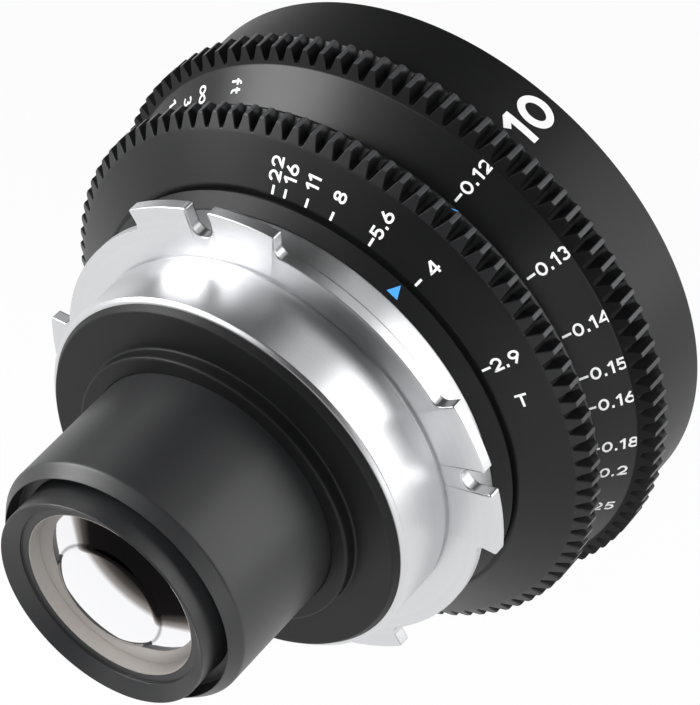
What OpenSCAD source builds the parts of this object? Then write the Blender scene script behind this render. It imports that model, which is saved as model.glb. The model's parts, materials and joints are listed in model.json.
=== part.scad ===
// Cinema prime lens with a four-tab bayonet mount, geared iris and focus rings.
// The optical axis is Y: the front glass faces +Y, the mount faces -Y.
// The origin is on the axis, in the flange face that seats on the camera.
// A station is a place along Y; an angle is measured from +X towards +Z.

/* [Lens mount] */
// Diameter of the locating tube
tube_d = 54; // [53:0.1:55]
// Length of the locating tube behind the flange seat
tube_length = 9.2; // [8:0.1:11]
// Wall of the locating tube
tube_wall = 2.5; // [2:0.1:3]
// Diameter of the flange between its tabs
flange_d = 62.6; // [61.4:0.1:64]
// Thickness of the flange and its tabs
flange_thickness = 1.75; // [1.4:0.05:2.2]
// Diameter across the tabs
tab_d = 68.4; // [67:0.1:70]
// Angle that one tab covers
tab_angle = 39.4; // [34:0.2:44]
// Angle of the middle of the first tab
tab_phase = 17.2; // [0:0.2:45]
// Radius of the fillet at the foot of a tab's end
tab_fillet = 1.2; // [0.6:0.1:1.4]
// Width of the key notch in each tab
notch_width = 3.4; // [2.8:0.1:4.4]
// Diameter on which the key notches end
notch_floor_d = 60.4; // [59:0.1:61.2]
// Diameter of the neck in front of the flange
neck_d = 59.8; // [59:0.1:61]
// Distance from the flange seat to the front of the neck
neck_front = 5.95; // [5.2:0.05:7]
// Wall of the neck
neck_wall = 2.4; // [2:0.1:3]
// Depth of the screw web behind the flange seat
web_rear = 1; // [0.5:0.1:2]
// Depth of the screw web in front of the flange seat
web_front = 2.5; // [2.2:0.1:3]
// Free space between the screw web and the rear barrel
web_space = 2; // [1.2:0.1:2.4]
// Thickness of the back-focus shim
shim_thickness = 0.1; // [0.05:0.05:0.3]
// Number of mount screws
mount_screw_count = 6; // [4:1:8]
// Diameter of the circle of mount screws
mount_screw_circle_d = 45; // [44.4:0.1:45.4]
// Diameter of a mount screw
mount_screw_d = 2; // [1.6:0.1:2.4]
// Diameter of a mount screw's head
mount_screw_head_d = 3.6; // [3:0.1:3.9]
// Height of a mount screw's head
mount_screw_head_height = 1.8; // [1.2:0.1:2.4]

/* [Rear group] */
// Diameter of the rear barrel
rear_barrel_d = 36; // [35.4:0.1:36.8]
// Distance from the flange seat back to the end of the rear barrel
rear_reach = 31.85; // [30:0.05:34]
// Width of the chamfer at the end of the rear barrel
rear_chamfer = 1.2; // [0.6:0.1:1.25]
// Length of the chamfer at the end of the rear barrel
rear_chamfer_length = 1.65; // [0.8:0.05:2.4]
// Wall of the rear barrel round the rear cell
rear_wall = 2.77; // [2.6:0.01:3.2]
// Distance that the rear cell stands out of the rear barrel
rear_cell_proud = 3.05; // [2.2:0.05:4]
// Length of the rear cell
rear_cell_length = 13; // [11:0.5:15]
// Width of the groove between the rear cell and the rear barrel
rear_groove_width = 1.5; // [1:0.1:1.55]
// Depth of the groove round the rear cell
rear_groove_depth = 2.5; // [1.5:0.1:4]
// Width of the sloped face of the rear cell
rear_slope_width = 1.9; // [1.4:0.1:2.2]
// Depth of the sloped face of the rear cell
rear_slope_depth = 1.5; // [1:0.1:2]
// Wall of the rear cell round the rear glass
rear_cell_wall = 2.17; // [1.8:0.01:2.6]
// Width of the lip that the rear glass rests on
rear_lip_width = 0.7; // [0.5:0.05:1.2]
// Thickness of the rear glass at its edge
rear_glass_edge = 3.5; // [2.5:0.1:5]
// Thickness of the rear cover outside the mount tube
cover_thickness = 0.95; // [0.7:0.05:1.4]
// Width of the bare rim of the mount tube round the rear cover
cover_inset = 0.7; // [0.5:0.05:1]
// Width of the collar on the rear cover
collar_width = 2.3; // [1.4:0.1:3.4]
// Height of the collar on the rear cover
collar_height = 1.95; // [1:0.05:3]

/* [Main barrel] */
// Wall of the barrel round the iris
iris_wall = 4; // [3.6:0.1:4.4]
// Wall of the barrel round the focus group
barrel_wall = 3; // [2.6:0.1:3.4]
// Width of the shelf between the two bores of the barrel
shelf_width = 6; // [5.8:0.1:6.4]
// Thickness of the barrel's rear plate
rear_plate = 3.4; // [2.8:0.1:4]
// Length of the iris index ring
index_ring_length = 1.9; // [1.6:0.05:2.6]
// Diameter of the front edge of the iris index ring
index_ring_d = 63.1; // [62:0.1:63.6]
// Thickness of the focus index ring
focus_index_thickness = 0.55; // [0.4:0.05:1]
// Diameter of the focus index ring
focus_index_d = 77.6; // [74:0.1:78.6]

/* [Iris ring] */
// Module of both drive gears
gear_module = 0.8; // [0.78:0.01:0.82]
// Number of teeth on the iris ring
iris_teeth = 97; // [95:1:98]
// Diameter of the rear edge of the iris ring
iris_ring_rear_d = 64.2; // [63.8:0.1:66]
// Open groove between the index ring and the iris ring
ring_groove = 0.55; // [0.4:0.05:0.8]
// Length of the sloped scale of the iris ring
iris_slope_length = 4.9; // [4:0.1:6]
// Length of the full teeth of the iris ring
iris_land = 2.1; // [1.6:0.05:3]
// Turn of the iris ring from rest to fully open
iris_open_turn = 26.2; // [20:0.2:28]
// Turn of the iris ring from rest to fully stopped down
iris_close_turn = 36.4; // [30:0.2:38]

/* [Iris blades] */
// Number of blades
blade_count = 9; // [7:1:9]
// Radius of the circle of blade pivots
blade_pivot_r = 12; // [11.8:0.1:12.4]
// Diameter of the fully open aperture
open_aperture_d = 12.4; // [11.6:0.1:12.8]
// Width of a blade
blade_width = 3.6; // [3:0.1:3.8]
// Angle that a blade covers
blade_sweep = 132; // [110:1:140]
// Thickness of a blade
blade_thickness = 0.2; // [0.1:0.02:0.24]
// Distance from one blade to the next along the axis
blade_pitch = 0.34; // [0.3:0.01:0.36]
// Turn of a blade for one degree of the iris ring
blade_ratio = 0.414; // [0.38:0.002:0.43]
// Angle from a blade's pivot to its drive stud, seen from the axis
stud_angle = 31; // [29:0.5:31.5]
// Radius of the pivot pins
pivot_pin_r = 0.55; // [0.4:0.05:0.6]
// Radius of the drive studs
stud_r = 0.5; // [0.4:0.05:0.55]

/* [Focus ring] */
// Number of teeth on the focus ring
focus_teeth = 102; // [101:1:103]
// Step from the front barrel down to the front edge of the focus scale
scale_step = 0.5; // [0.3:0.05:1]
// Length of the focus ring behind its teeth
focus_scale_length = 7.75; // [7:0.05:9]
// Length of the sloped focus scale
scale_slope_length = 6.1; // [5.6:0.05:6.8]
// Wall of the focus ring at the rear edge of its scale
scale_rear_wall = 1.15; // [0.8:0.05:1.5]
// Length of the sloped rear ends of the focus teeth
focus_slope_length = 1; // [0.6:0.05:1.4]
// Length of the full teeth of the focus ring
focus_land = 3.05; // [2.4:0.05:4]
// Turn of the focus ring from its nearest mark to infinity
focus_turn = 109; // [90:0.5:120]
// Travel of the focus group over that turn
focus_travel = 1.6; // [1:0.1:2]
// Length of the focus carrier
carrier_length = 4.2; // [3.8:0.1:4.4]
// Width of the carrier inside the iris bore, round the focus glass
carrier_step = 6; // [5:0.1:7]

/* [Front group] */
// Outer diameter of the front barrel
front_d = 80; // [79:0.1:81]
// Length of the front barrel
front_length = 10; // [9.6:0.05:12]
// Wall of the front barrel over the main barrel
front_shell = 7; // [6.6:0.1:7.4]
// Wall of the front barrel at its filter thread
front_wall = 1.9; // [1.5:0.05:2.4]
// Length of the filter thread
thread_length = 3.8; // [3:0.1:4.2]
// Wall of the front cell round the front glass
front_cell_wall = 5; // [4.6:0.1:6]
// Radius of the front surface of the front glass
front_glass_radius = 75; // [70:1:90]
// Radius of the hollow rear surface of the front glass
front_hollow_radius = 34; // [32:0.5:40]
// Width of the flat rim round the hollow in the front glass
hollow_rim = 6; // [5.5:0.1:7]

/* [Clearances] */
// Radial clearance of a turning or sliding fit
run_fit = 0.05; // [0.03:0.01:0.08]
// Radial clearance between parts that are fixed together
seat_fit = 0.03; // [0.01:0.01:0.06]
// Gap along the axis beside a turning ring
side_gap = 0.15; // [0.1:0.05:0.2]

/* [Hidden] */
$fn = 96;
past = 1;

// Finishes
black_anodised = [0.09, 0.09, 0.1];
bright_metal = [0.78, 0.79, 0.81];
dark_steel = [0.3, 0.3, 0.32];
brass = [0.72, 0.58, 0.3];
blade_black = [0.14, 0.14, 0.15];
clear_glass = [0.75, 0.85, 0.88, 0.5];

// Diameters that follow from the front barrel and the rear barrel
focus_seat_d = front_d - 2 * front_shell;
focus_bore_d = focus_seat_d - 2 * barrel_wall;
iris_bore_d = focus_bore_d - 2 * shelf_width;
iris_seat_d = iris_bore_d + 2 * iris_wall;
focus_scale_d = front_d - 2 * scale_step;
focus_glass_d = iris_bore_d - 2 * carrier_step;
front_glass_d = focus_bore_d - 2 * front_cell_wall;
front_hollow_d = front_glass_d - 2 * hollow_rim;
web_bore_d = rear_barrel_d + 2 * web_space;
collar_d = rear_barrel_d + 2 * collar_width;
rear_cell_d = rear_barrel_d - 2 * (rear_wall + seat_fit);
rear_glass_d = rear_cell_d - 2 * (rear_cell_wall + seat_fit);
rear_window_d = rear_glass_d - 2 * rear_lip_width;

// Stations along the axis, from the flange seat forwards
barrel_rear = web_front + shim_thickness;
plate_front = barrel_rear + rear_plate;
index_front = neck_front + index_ring_length;
iris_lip = index_front + side_gap;
iris_rear = index_front + ring_groove;
iris_tip_rear = iris_rear + iris_slope_length;
iris_front = iris_tip_rear + iris_land;
focus_index_rear = iris_front + side_gap;
focus_index_front = focus_index_rear + focus_index_thickness;
focus_rear = focus_index_front + side_gap;
focus_scale_front = focus_rear + focus_scale_length;
focus_tip_rear = focus_scale_front + focus_slope_length;
focus_front = focus_tip_rear + focus_land;
front_rear = focus_front + side_gap;
front_rim = front_rear + front_length;

// Stations behind the flange seat
cover_rear = -tube_length - cover_thickness;
collar_rear = cover_rear - collar_height;
cell_rear = -rear_reach - rear_cell_proud;
cell_front = cell_rear + rear_cell_length;

// Mount and rear group
tube_chamfer = 0.45;
tab_chamfer = 0.4;
tube_bore_r = tube_d / 2 - tube_wall;
cover_r = tube_d / 2 - cover_inset;
cover_bevel = 0.6;
cover_spigot = 2.5;
cover_spigot_wall = 2;
cover_inner = 0.4;
spigot_r = neck_d / 2 - neck_wall - seat_fit;
rear_bore_r = rear_cell_d / 2 + seat_fit;
rear_lip = 2;
rear_inner_lip = 3.23;
rear_lip_r = rear_bore_r - rear_inner_lip;
window_lip = 0.7;
cell_edge = 0.15;
face_step = 0.3;
rear_glass_seat = cell_rear + rear_slope_depth + face_step + window_lip;
rear_glass_front = rear_glass_seat + rear_glass_edge;
rear_glass_radius = 60;
mouth_gap = 0.1;
glass_ring_length = 2;
glass_ring_wall = 1.5;
doublet_edge = 3.6;
doublet_radius = 40;
spacer_wall = 1.6;
screw_end_gap = 0.4;
screw_length = plate_front - screw_end_gap + web_rear;

// Iris
tooth_depth = 2.125 * gear_module;
iris_tip_r = gear_module * (iris_teeth + 2) / 2;
focus_tip_r = gear_module * (focus_teeth + 2) / 2;
tip_chamfer = 0.3;
iris_lip_inset = 1;
base_foot = 2;
base_plate_rear = plate_front + base_foot;
base_plate = 1.4;
base_front = base_plate_rear + base_plate;
base_rim_wall = 2.4;
base_hole_margin = 0.4;
base_hole_r = open_aperture_d / 2 + base_hole_margin;
blade_gap = 0.15;
blade_first = base_front + blade_gap;
blades_front = blade_first + blade_count * blade_pitch;
drive_rear = blades_front + blade_gap;
drive_length = 2.4;
drive_front = drive_rear + drive_length;
drive_outer_margin = 5.5;
drive_inner_margin = 1.6;
drive_r = blade_pivot_r + drive_outer_margin;
drive_bore_r = blade_pivot_r - drive_inner_margin;
guide_wall = 1.5;
guide_overlap = 0.8;
guide_front = drive_rear + guide_overlap;
drive_pin_r = 0.6;
drive_pin_inset = 1.5;
drive_pin_station = drive_rear + drive_pin_inset;
drive_pin_grip = 1.9;
drive_pin_angle = -120;
iris_slot_gap = 0.2;
retaining_rear = drive_front + side_gap;
retaining_length = 1;
retaining_margin = 1;
retaining_bore_r = blade_pivot_r + retaining_margin;
pin_end_gap = 0.2;
stud_reach = 1;
neck_half_width = 1;
neck_overlap = 0.5;
ear_r = 1.05;
arm_half_width = 0.8;
blade_rest = -blade_ratio * iris_open_turn;
stud_slot_gap = 0.12;
slot_steps = 18;
cap_steps = 6;
slot_overrun = 1;

// Focus group
barrel_overlap = 2.8;
barrel_front = front_rear + barrel_overlap;
shelf_thickness = 0.7;
shelf_front = focus_index_front + shelf_thickness;
sleeve_rear = shelf_front + side_gap;
sleeve_wall = 2.5;
sleeve_r = focus_bore_d / 2 - run_fit;
carrier_r = sleeve_r - sleeve_wall - run_fit;
carrier_end_gap = 0.25;
carrier_rear = sleeve_rear + carrier_end_gap + focus_travel;
carrier_front = carrier_rear + carrier_length;
sleeve_overlap = 0.7;
sleeve_front = carrier_front + sleeve_overlap;
cell_back = sleeve_front + side_gap;
focus_pin_r = 1;
focus_pin_station = (sleeve_rear + sleeve_front) / 2;
scale_front_r = focus_scale_d / 2;
scale_rear_r = focus_seat_d / 2 + run_fit + scale_rear_wall;
scale_rear = focus_scale_front - scale_slope_length;
scale_slope = (scale_front_r - scale_rear_r) / scale_slope_length;
pin_cover = 0.7;
scale_r_at_pin = scale_rear_r + scale_slope * (focus_pin_station - focus_pin_r - scale_rear);
focus_pin_grip = scale_r_at_pin - focus_seat_d / 2 - pin_cover;
focus_pin_angles = [20, 200];
guide_pin_r = 1;
guide_pin_circle_r = (iris_bore_d / 2 + carrier_r) / 2;
guide_pin_angles = [40, 160, 280];
guide_pin_seat = 4;
focus_glass_r = focus_glass_d / 2;
carrier_lip = 0.6;
carrier_lip_width = 1.2;
focus_glass_edge = 1.5;
focus_glass_radius = 60;
focus_ring_wall = 1.4;

// Front group
thread_r = front_d / 2 - front_wall;
thread_rear = front_rim - thread_length;
front_glass_r = front_glass_d / 2;
opening_margin = 1.5;
front_opening_r = front_glass_r + opening_margin;
cell_lip = 0.5;
front_glass_rear = cell_back + cell_lip;
front_glass_edge = 4.4;
front_glass_front = front_glass_rear + front_glass_edge;
front_cell_r = focus_bore_d / 2 - seat_fit;
cell_lip_width = 3;
front_cell_lip_r = front_glass_r - cell_lip_width;
front_ring_width = 3;
front_ring_r = front_glass_r + front_ring_width;
front_ring_lap = 1;
ring_proud = 0.4;
front_ring_front = barrel_front + ring_proud;
cell_flange = 1;
cell_flange_front = barrel_front + cell_flange;
clamp_rear = cell_flange_front + seat_fit;
front_chamfer = 0.3;
trim_step = 1.1;
trim_r = thread_r - trim_step;
trim_flare = 3;
trim_edge = 0.4;

// Solid of revolution about the optical axis from [radius, station] points
module spun(points) {
    rotate([-90, 0, 0])
        rotate_extrude()
            polygon(points);
}

// Plain ring between two stations
module ring(outer_r, inner_r, from, to) {
    difference() {
        rod(outer_r, from, to);
        rod(inner_r, from - past, to + past);
    }
}

// Cylinder on the optical axis between two stations
module rod(r, from, to) {
    translate([0, from, 0])
        rotate([-90, 0, 0])
            cylinder(h = to - from, r = r);
}

// Flat outline in the XZ plane made solid between two stations
module plate(from, to) {
    translate([0, to, 0])
        rotate([90, 0, 0])
            linear_extrude(height = to - from)
                children();
}

// Turn about the optical axis, from +X towards +Z
module at_angle(angle) {
    rotate([0, -angle, 0])
        children();
}

// Pin along the axis at a distance from it
module axial_pin(distance, r, from, to) {
    translate([distance, 0, 0])
        rod(r, from, to);
}

// Pin that points away from the axis, along +X
module radial_pin(station, r, from, to) {
    translate([from, station, 0])
        rotate([0, 90, 0])
            cylinder(h = to - from, r = r);
}

// Pie slice of the XZ plane between two angles
function slice(r, from, to, steps = 12) =
    concat([[0, 0]], [for (i = [0:steps]) let (a = from + (to - from) * i / steps) r * [cos(a), sin(a)]]);

// Part of a ring between two angles
module arc_ring(outer_r, inner_r, from, to, from_angle, to_angle) {
    intersection() {
        ring(outer_r, inner_r, from, to);
        plate(from - past, to + past)
            polygon(slice(2 * outer_r, from_angle, to_angle));
    }
}

// Outline of a gear: straight-sided teeth with a 20 degree flank
function gear_outline(teeth) =
    let (pitch_r = gear_module * teeth / 2,
         tip_r = pitch_r + gear_module,
         root_r = tip_r - tooth_depth,
         half_pitch = PI * gear_module / 4,
         tip_half = half_pitch - gear_module * tan(20),
         root_half = half_pitch + (tooth_depth - gear_module) * tan(20))
    [for (i = [0:teeth - 1], side = [[root_r, -root_half], [tip_r, -tip_half],
                                     [tip_r, tip_half], [root_r, root_half]])
        let (a = i * 360 / teeth + side[1] / side[0] * 180 / PI)
            side[0] * [cos(a), sin(a)]];

// Depth of a spherical surface of the given radius over a disc
function sag(radius, r) = radius - sqrt(radius * radius - r * r);

// Spherical surface over a disc, from its rim's station; way is 1 to bulge forwards and -1 backwards
module dome(radius, r, station, way) {
    depth = sag(radius, r);
    intersection() {
        rod(r, station - (way > 0 ? past / 2 : depth), station + (way > 0 ? depth : past / 2));
        translate([0, station + way * (depth - radius), 0])
            sphere(r = radius, $fn = 360);
    }
}

// Lens with flat rims at two stations. A positive surface radius bulges outwards over its mouth, a
// negative one is hollow, and zero is flat.
module glass(r, from, to, back_radius = 0, back_mouth = 0, face_radius = 0, face_mouth = 0) {
    difference() {
        union() {
            rod(r, from, to);
            if (back_radius > 0)
                dome(back_radius, back_mouth, from, -1);
            if (face_radius > 0)
                dome(face_radius, face_mouth, to, 1);
        }
        if (back_radius < 0)
            translate([0, from + sag(-back_radius, back_mouth) + back_radius, 0])
                sphere(r = -back_radius, $fn = 360);
        if (face_radius < 0)
            translate([0, to - sag(-face_radius, face_mouth) - face_radius, 0])
                sphere(r = -face_radius, $fn = 360);
    }
}

// Concave fillet between the flange's edge and one end of a tab; side is 1 or -1
module end_fillet(side) {
    flange_r = flange_d / 2;
    reach = flange_r + tab_fillet;
    at_angle(side * tab_angle / 2)
        difference() {
            plate(0, flange_thickness)
                polygon([[flange_r - tab_fillet, 0], [reach, 0], [reach, side * tab_fillet],
                         [flange_r - tab_fillet, side * tab_fillet]]);
            translate([reach, 0, side * tab_fillet])
                rod(tab_fillet, -past, flange_thickness + past);
        }
}

// One bayonet tab, pointing along +X, without its notch
module tab() {
    tab_r = tab_d / 2;
    intersection() {
        spun([[tube_d / 2, 0], [tab_r - tab_chamfer, 0], [tab_r, tab_chamfer],
              [tab_r, flange_thickness], [tube_d / 2, flange_thickness]]);
        plate(-past, flange_thickness + past)
            polygon(slice(tab_d, -tab_angle / 2, tab_angle / 2));
    }
    end_fillet(1);
    end_fillet(-1);
}

// Key notch with a round floor, pointing along +X
module notch() {
    floor_r = notch_floor_d / 2 + notch_width / 2;
    axial_pin(floor_r, notch_width / 2, -past, flange_thickness);
    plate(-past, flange_thickness)
        translate([floor_r, -notch_width / 2])
            square([tab_d, notch_width]);
}

// Bright bayonet mount: tube, flange with four tabs, neck and screw web
module pl_mount() {
    tube_r = tube_d / 2;
    color(bright_metal)
        difference() {
            union() {
                spun([[tube_bore_r, -tube_length], [tube_r - tube_chamfer, -tube_length],
                      [tube_r, -tube_length + tube_chamfer], [tube_r, 0], [flange_d / 2, 0],
                      [flange_d / 2, flange_thickness], [neck_d / 2, flange_thickness],
                      [neck_d / 2, neck_front], [neck_d / 2 - neck_wall, neck_front],
                      [neck_d / 2 - neck_wall, web_front], [web_bore_d / 2, web_front],
                      [web_bore_d / 2, -web_rear], [tube_bore_r, -web_rear]]);
                for (i = [0:3])
                    at_angle(tab_phase + i * 90)
                        tab();
            }
            for (i = [0:3])
                at_angle(tab_phase + i * 90)
                    notch();
            mount_screw_holes(-web_rear - past, web_front + past);
        }
}

// Clearance holes for the mount screws
module mount_screw_holes(from, to) {
    for (i = [0:mount_screw_count - 1])
        at_angle(i * 360 / mount_screw_count)
            axial_pin(mount_screw_circle_d / 2, mount_screw_d / 2 + seat_fit, from, to);
}

// Thin ring that sets the back focus
module mount_shim() {
    color(brass)
        difference() {
            ring(spigot_r, web_bore_d / 2, web_front, barrel_rear);
            mount_screw_holes(web_front - past, barrel_rear + past);
        }
}

// Screws that hold the mount to the main barrel, hidden under the rear cover
module mount_screws() {
    color(dark_steel)
        for (i = [0:mount_screw_count - 1])
            at_angle(i * 360 / mount_screw_count)
                difference() {
                    union() {
                        axial_pin(mount_screw_circle_d / 2, mount_screw_d / 2, -web_rear,
                                  -web_rear + screw_length);
                        axial_pin(mount_screw_circle_d / 2, mount_screw_head_d / 2,
                                  -web_rear - mount_screw_head_height, -web_rear);
                    }
                    translate([mount_screw_circle_d / 2, -web_rear - mount_screw_head_height / 2, 0])
                        rotate([90, 0, 0])
                            cylinder(h = mount_screw_head_height, r = mount_screw_d * 0.45, $fn = 6);
                }
}

// Black disc with a collar that closes the back of the mount tube
module rear_cover() {
    bore_r = rear_barrel_d / 2 + seat_fit;
    color(black_anodised)
        spun([[bore_r, collar_rear], [collar_d / 2, collar_rear], [collar_d / 2, cover_rear],
              [cover_r - cover_bevel, cover_rear], [cover_r, -tube_length],
              [tube_bore_r - seat_fit, -tube_length], [tube_bore_r - seat_fit, -tube_length + cover_spigot],
              [tube_bore_r - cover_spigot_wall, -tube_length + cover_spigot],
              [tube_bore_r - cover_spigot_wall, -tube_length + cover_inner],
              [bore_r, -tube_length + cover_inner]]);
}

// Tube that carries the rear glass, screwed into the main barrel
module rear_barrel() {
    r = rear_barrel_d / 2;
    groove_r = rear_cell_d / 2 + rear_groove_width;
    color(black_anodised)
        spun([[groove_r, -rear_reach], [r - rear_chamfer, -rear_reach],
              [r, -rear_reach + rear_chamfer_length],
              [r, plate_front], [rear_lip_r, plate_front], [rear_lip_r, plate_front - rear_lip],
              [rear_bore_r, plate_front - rear_lip], [rear_bore_r, -rear_reach + rear_groove_depth],
              [groove_r, -rear_reach + rear_groove_depth]]);
}

// Ring-shaped cell with a sloped face round the rear window
module rear_cell() {
    r = rear_cell_d / 2;
    window_r = rear_window_d / 2;
    slope_r = r - rear_slope_width;
    face = cell_rear + rear_slope_depth;
    color(black_anodised)
        spun([[r - cell_edge, cell_rear], [r, cell_rear + cell_edge], [r, cell_front],
              [rear_glass_d / 2 + seat_fit, cell_front], [rear_glass_d / 2 + seat_fit, rear_glass_seat],
              [window_r, rear_glass_seat], [window_r, face + face_step],
              [slope_r, face + face_step], [slope_r, face]]);
}

// Rear glass, bulging slightly backwards
module rear_glass() {
    color(clear_glass)
        glass(rear_glass_d / 2, rear_glass_seat, rear_glass_front, rear_glass_radius,
              rear_window_d / 2 - mouth_gap);
}

// Threaded ring that holds the rear glass in its cell
module rear_glass_ring() {
    color(dark_steel)
        ring(rear_glass_d / 2, rear_glass_d / 2 - glass_ring_wall, rear_glass_front,
             rear_glass_front + glass_ring_length);
}

// Tube that spaces the rear cell from the pair of lenses in front of it
module rear_spacer() {
    outer_r = rear_bore_r - seat_fit;
    color(black_anodised)
        ring(outer_r, outer_r - spacer_wall, cell_front, plate_front - rear_lip - 2 * doublet_edge);
}

// Hinder half of the spaced pair in the rear barrel
module rear_doublet_back() {
    seat = plate_front - rear_lip;
    color(clear_glass)
        glass(rear_bore_r - seat_fit, seat - 2 * doublet_edge, seat - doublet_edge, 0, 0, -doublet_radius,
              rear_bore_r - seat_fit - 1);
}

// Front half of the spaced pair in the rear barrel
module rear_doublet_front() {
    seat = plate_front - rear_lip;
    color(clear_glass)
        glass(rear_bore_r - seat_fit, seat - doublet_edge, seat, 0, 0, doublet_radius,
              rear_lip_r - mouth_gap);
}

// Fixed barrel that carries every group
module main_barrel() {
    iris_r = iris_seat_d / 2;
    focus_r = focus_seat_d / 2;
    slot_half = asin((drive_pin_r + iris_slot_gap) / (iris_bore_d / 2));
    focus_slot_half = asin((focus_pin_r + iris_slot_gap) / (focus_bore_d / 2));
    bore_r = rear_barrel_d / 2 + seat_fit;
    color(black_anodised)
        difference() {
            spun([[bore_r, barrel_rear], [spigot_r, barrel_rear], [spigot_r, index_front],
                  [iris_r, index_front], [iris_r, focus_index_front], [focus_r, focus_index_front],
                  [focus_r, barrel_front], [focus_bore_d / 2, barrel_front], [focus_bore_d / 2, shelf_front],
                  [iris_bore_d / 2, shelf_front], [iris_bore_d / 2, plate_front], [bore_r, plate_front]]);
            mount_screw_holes(barrel_rear - past, plate_front + past);
            arc_ring(iris_r + past, iris_bore_d / 2 - past,
                     drive_pin_station - drive_pin_r - iris_slot_gap,
                     drive_pin_station + drive_pin_r + iris_slot_gap,
                     drive_pin_angle - iris_close_turn - slot_half,
                     drive_pin_angle + iris_open_turn + slot_half);
            for (a = focus_pin_angles)
                arc_ring(focus_r + past, focus_bore_d / 2 - past,
                         focus_pin_station - focus_pin_r - iris_slot_gap,
                         focus_pin_station + focus_pin_r + iris_slot_gap,
                         a - focus_slot_half, a + focus_turn + focus_slot_half);
            for (a = guide_pin_angles)
                at_angle(a)
                    axial_pin(guide_pin_circle_r, guide_pin_r, shelf_front - guide_pin_seat,
                              shelf_front + past);
        }
}

// Fixed black ring that carries the iris index mark
module iris_index_ring() {
    color(black_anodised)
        spun([[spigot_r + seat_fit, neck_front], [neck_d / 2, neck_front], [index_ring_d / 2, index_front],
              [spigot_r + seat_fit, index_front]]);
}

// Turning ring with the iris scale on its slope and a drive gear
module iris_ring() {
    bore_r = iris_seat_d / 2 + run_fit;
    color(black_anodised)
        difference() {
            intersection() {
                spun([[bore_r, iris_lip], [iris_ring_rear_d / 2 - iris_lip_inset, iris_lip],
                      [iris_ring_rear_d / 2 - iris_lip_inset, iris_rear], [iris_ring_rear_d / 2, iris_rear],
                      [iris_tip_r, iris_tip_rear], [iris_tip_r, iris_front - tip_chamfer],
                      [iris_tip_r - tip_chamfer, iris_front], [bore_r, iris_front]]);
                plate(iris_lip - past, iris_front + past)
                    polygon(gear_outline(iris_teeth));
            }
            at_angle(drive_pin_angle)
                radial_pin(drive_pin_station, drive_pin_r + seat_fit, bore_r - past, bore_r + drive_pin_grip);
        }
}

// Pin that joins the iris ring to the iris drive ring
module iris_drive_pin() {
    color(dark_steel)
        at_angle(drive_pin_angle)
            radial_pin(drive_pin_station, drive_pin_r, drive_r - drive_pin_grip,
                       iris_seat_d / 2 + drive_pin_grip);
}

// Plate with the pivot holes of the blades and a wall round them
module iris_base() {
    rim_r = iris_bore_d / 2 - seat_fit;
    wall_r = drive_r + run_fit;
    color(black_anodised)
        difference() {
            spun([[rim_r - base_rim_wall, plate_front], [rim_r, plate_front], [rim_r, base_front],
                  [wall_r + guide_wall, base_front], [wall_r + guide_wall, guide_front],
                  [wall_r, guide_front], [wall_r, base_front], [base_hole_r, base_front],
                  [base_hole_r, base_plate_rear], [rim_r - base_rim_wall, base_plate_rear]]);
            for (i = [0:blade_count - 1])
                at_angle(i * 360 / blade_count)
                    axial_pin(blade_pivot_r, pivot_pin_r + run_fit, base_plate_rear - past,
                              base_front + past);
        }
}

// Turn of a point in the plane about the origin
function turned(p, angle) = [p[0] * cos(angle) - p[1] * sin(angle), p[0] * sin(angle) + p[1] * cos(angle)];

// Drive stud seen from its pivot, with the blade fully open
stud_arm = blade_pivot_r * [cos(stud_angle) - 1, sin(stud_angle)];

// Place of the stud in the drive ring when the iris ring has turned by an angle
function stud_in_ring(turn) =
    turned([blade_pivot_r, 0] + turned(stud_arm, blade_rest + blade_ratio * turn), -turn);

// Outline of the cam slot that the stud follows
function cam_slot() =
    let (half = stud_r + stud_slot_gap,
         first = -iris_close_turn - slot_overrun,
         last = iris_open_turn + slot_overrun,
         turns = [for (i = [0:slot_steps]) first + (last - first) * i / slot_steps],
         headings = [for (t = turns)
             let (d = stud_in_ring(t + 0.5) - stud_in_ring(t - 0.5)) atan2(d[1], d[0])])
    concat(
        [for (i = [0:slot_steps])
            stud_in_ring(turns[i]) + half * [cos(headings[i] - 90), sin(headings[i] - 90)]],
        [for (i = [1:cap_steps - 1]) let (a = headings[slot_steps] - 90 + 180 * i / cap_steps)
            stud_in_ring(last) + half * [cos(a), sin(a)]],
        [for (i = [slot_steps:-1:0])
            stud_in_ring(turns[i]) + half * [cos(headings[i] + 90), sin(headings[i] + 90)]],
        [for (i = [1:cap_steps - 1]) let (a = headings[0] + 90 + 180 * i / cap_steps)
            stud_in_ring(first) + half * [cos(a), sin(a)]]);

// Ring with one cam slot for each blade, turned by the iris ring
module iris_drive_ring() {
    color(dark_steel)
        difference() {
            ring(drive_r, drive_bore_r, drive_rear, drive_front);
            for (i = [0:blade_count - 1])
                at_angle(i * 360 / blade_count)
                    plate(drive_rear - past, drive_front + past)
                        polygon(cam_slot());
            at_angle(drive_pin_angle)
                radial_pin(drive_pin_station, drive_pin_r + seat_fit, drive_r - drive_pin_grip,
                           drive_r + past);
        }
}

// Flat ring that keeps the drive ring in place
module iris_retaining_ring() {
    color(black_anodised)
        ring(iris_bore_d / 2 - seat_fit, retaining_bore_r, retaining_rear, retaining_rear + retaining_length);
}

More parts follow.
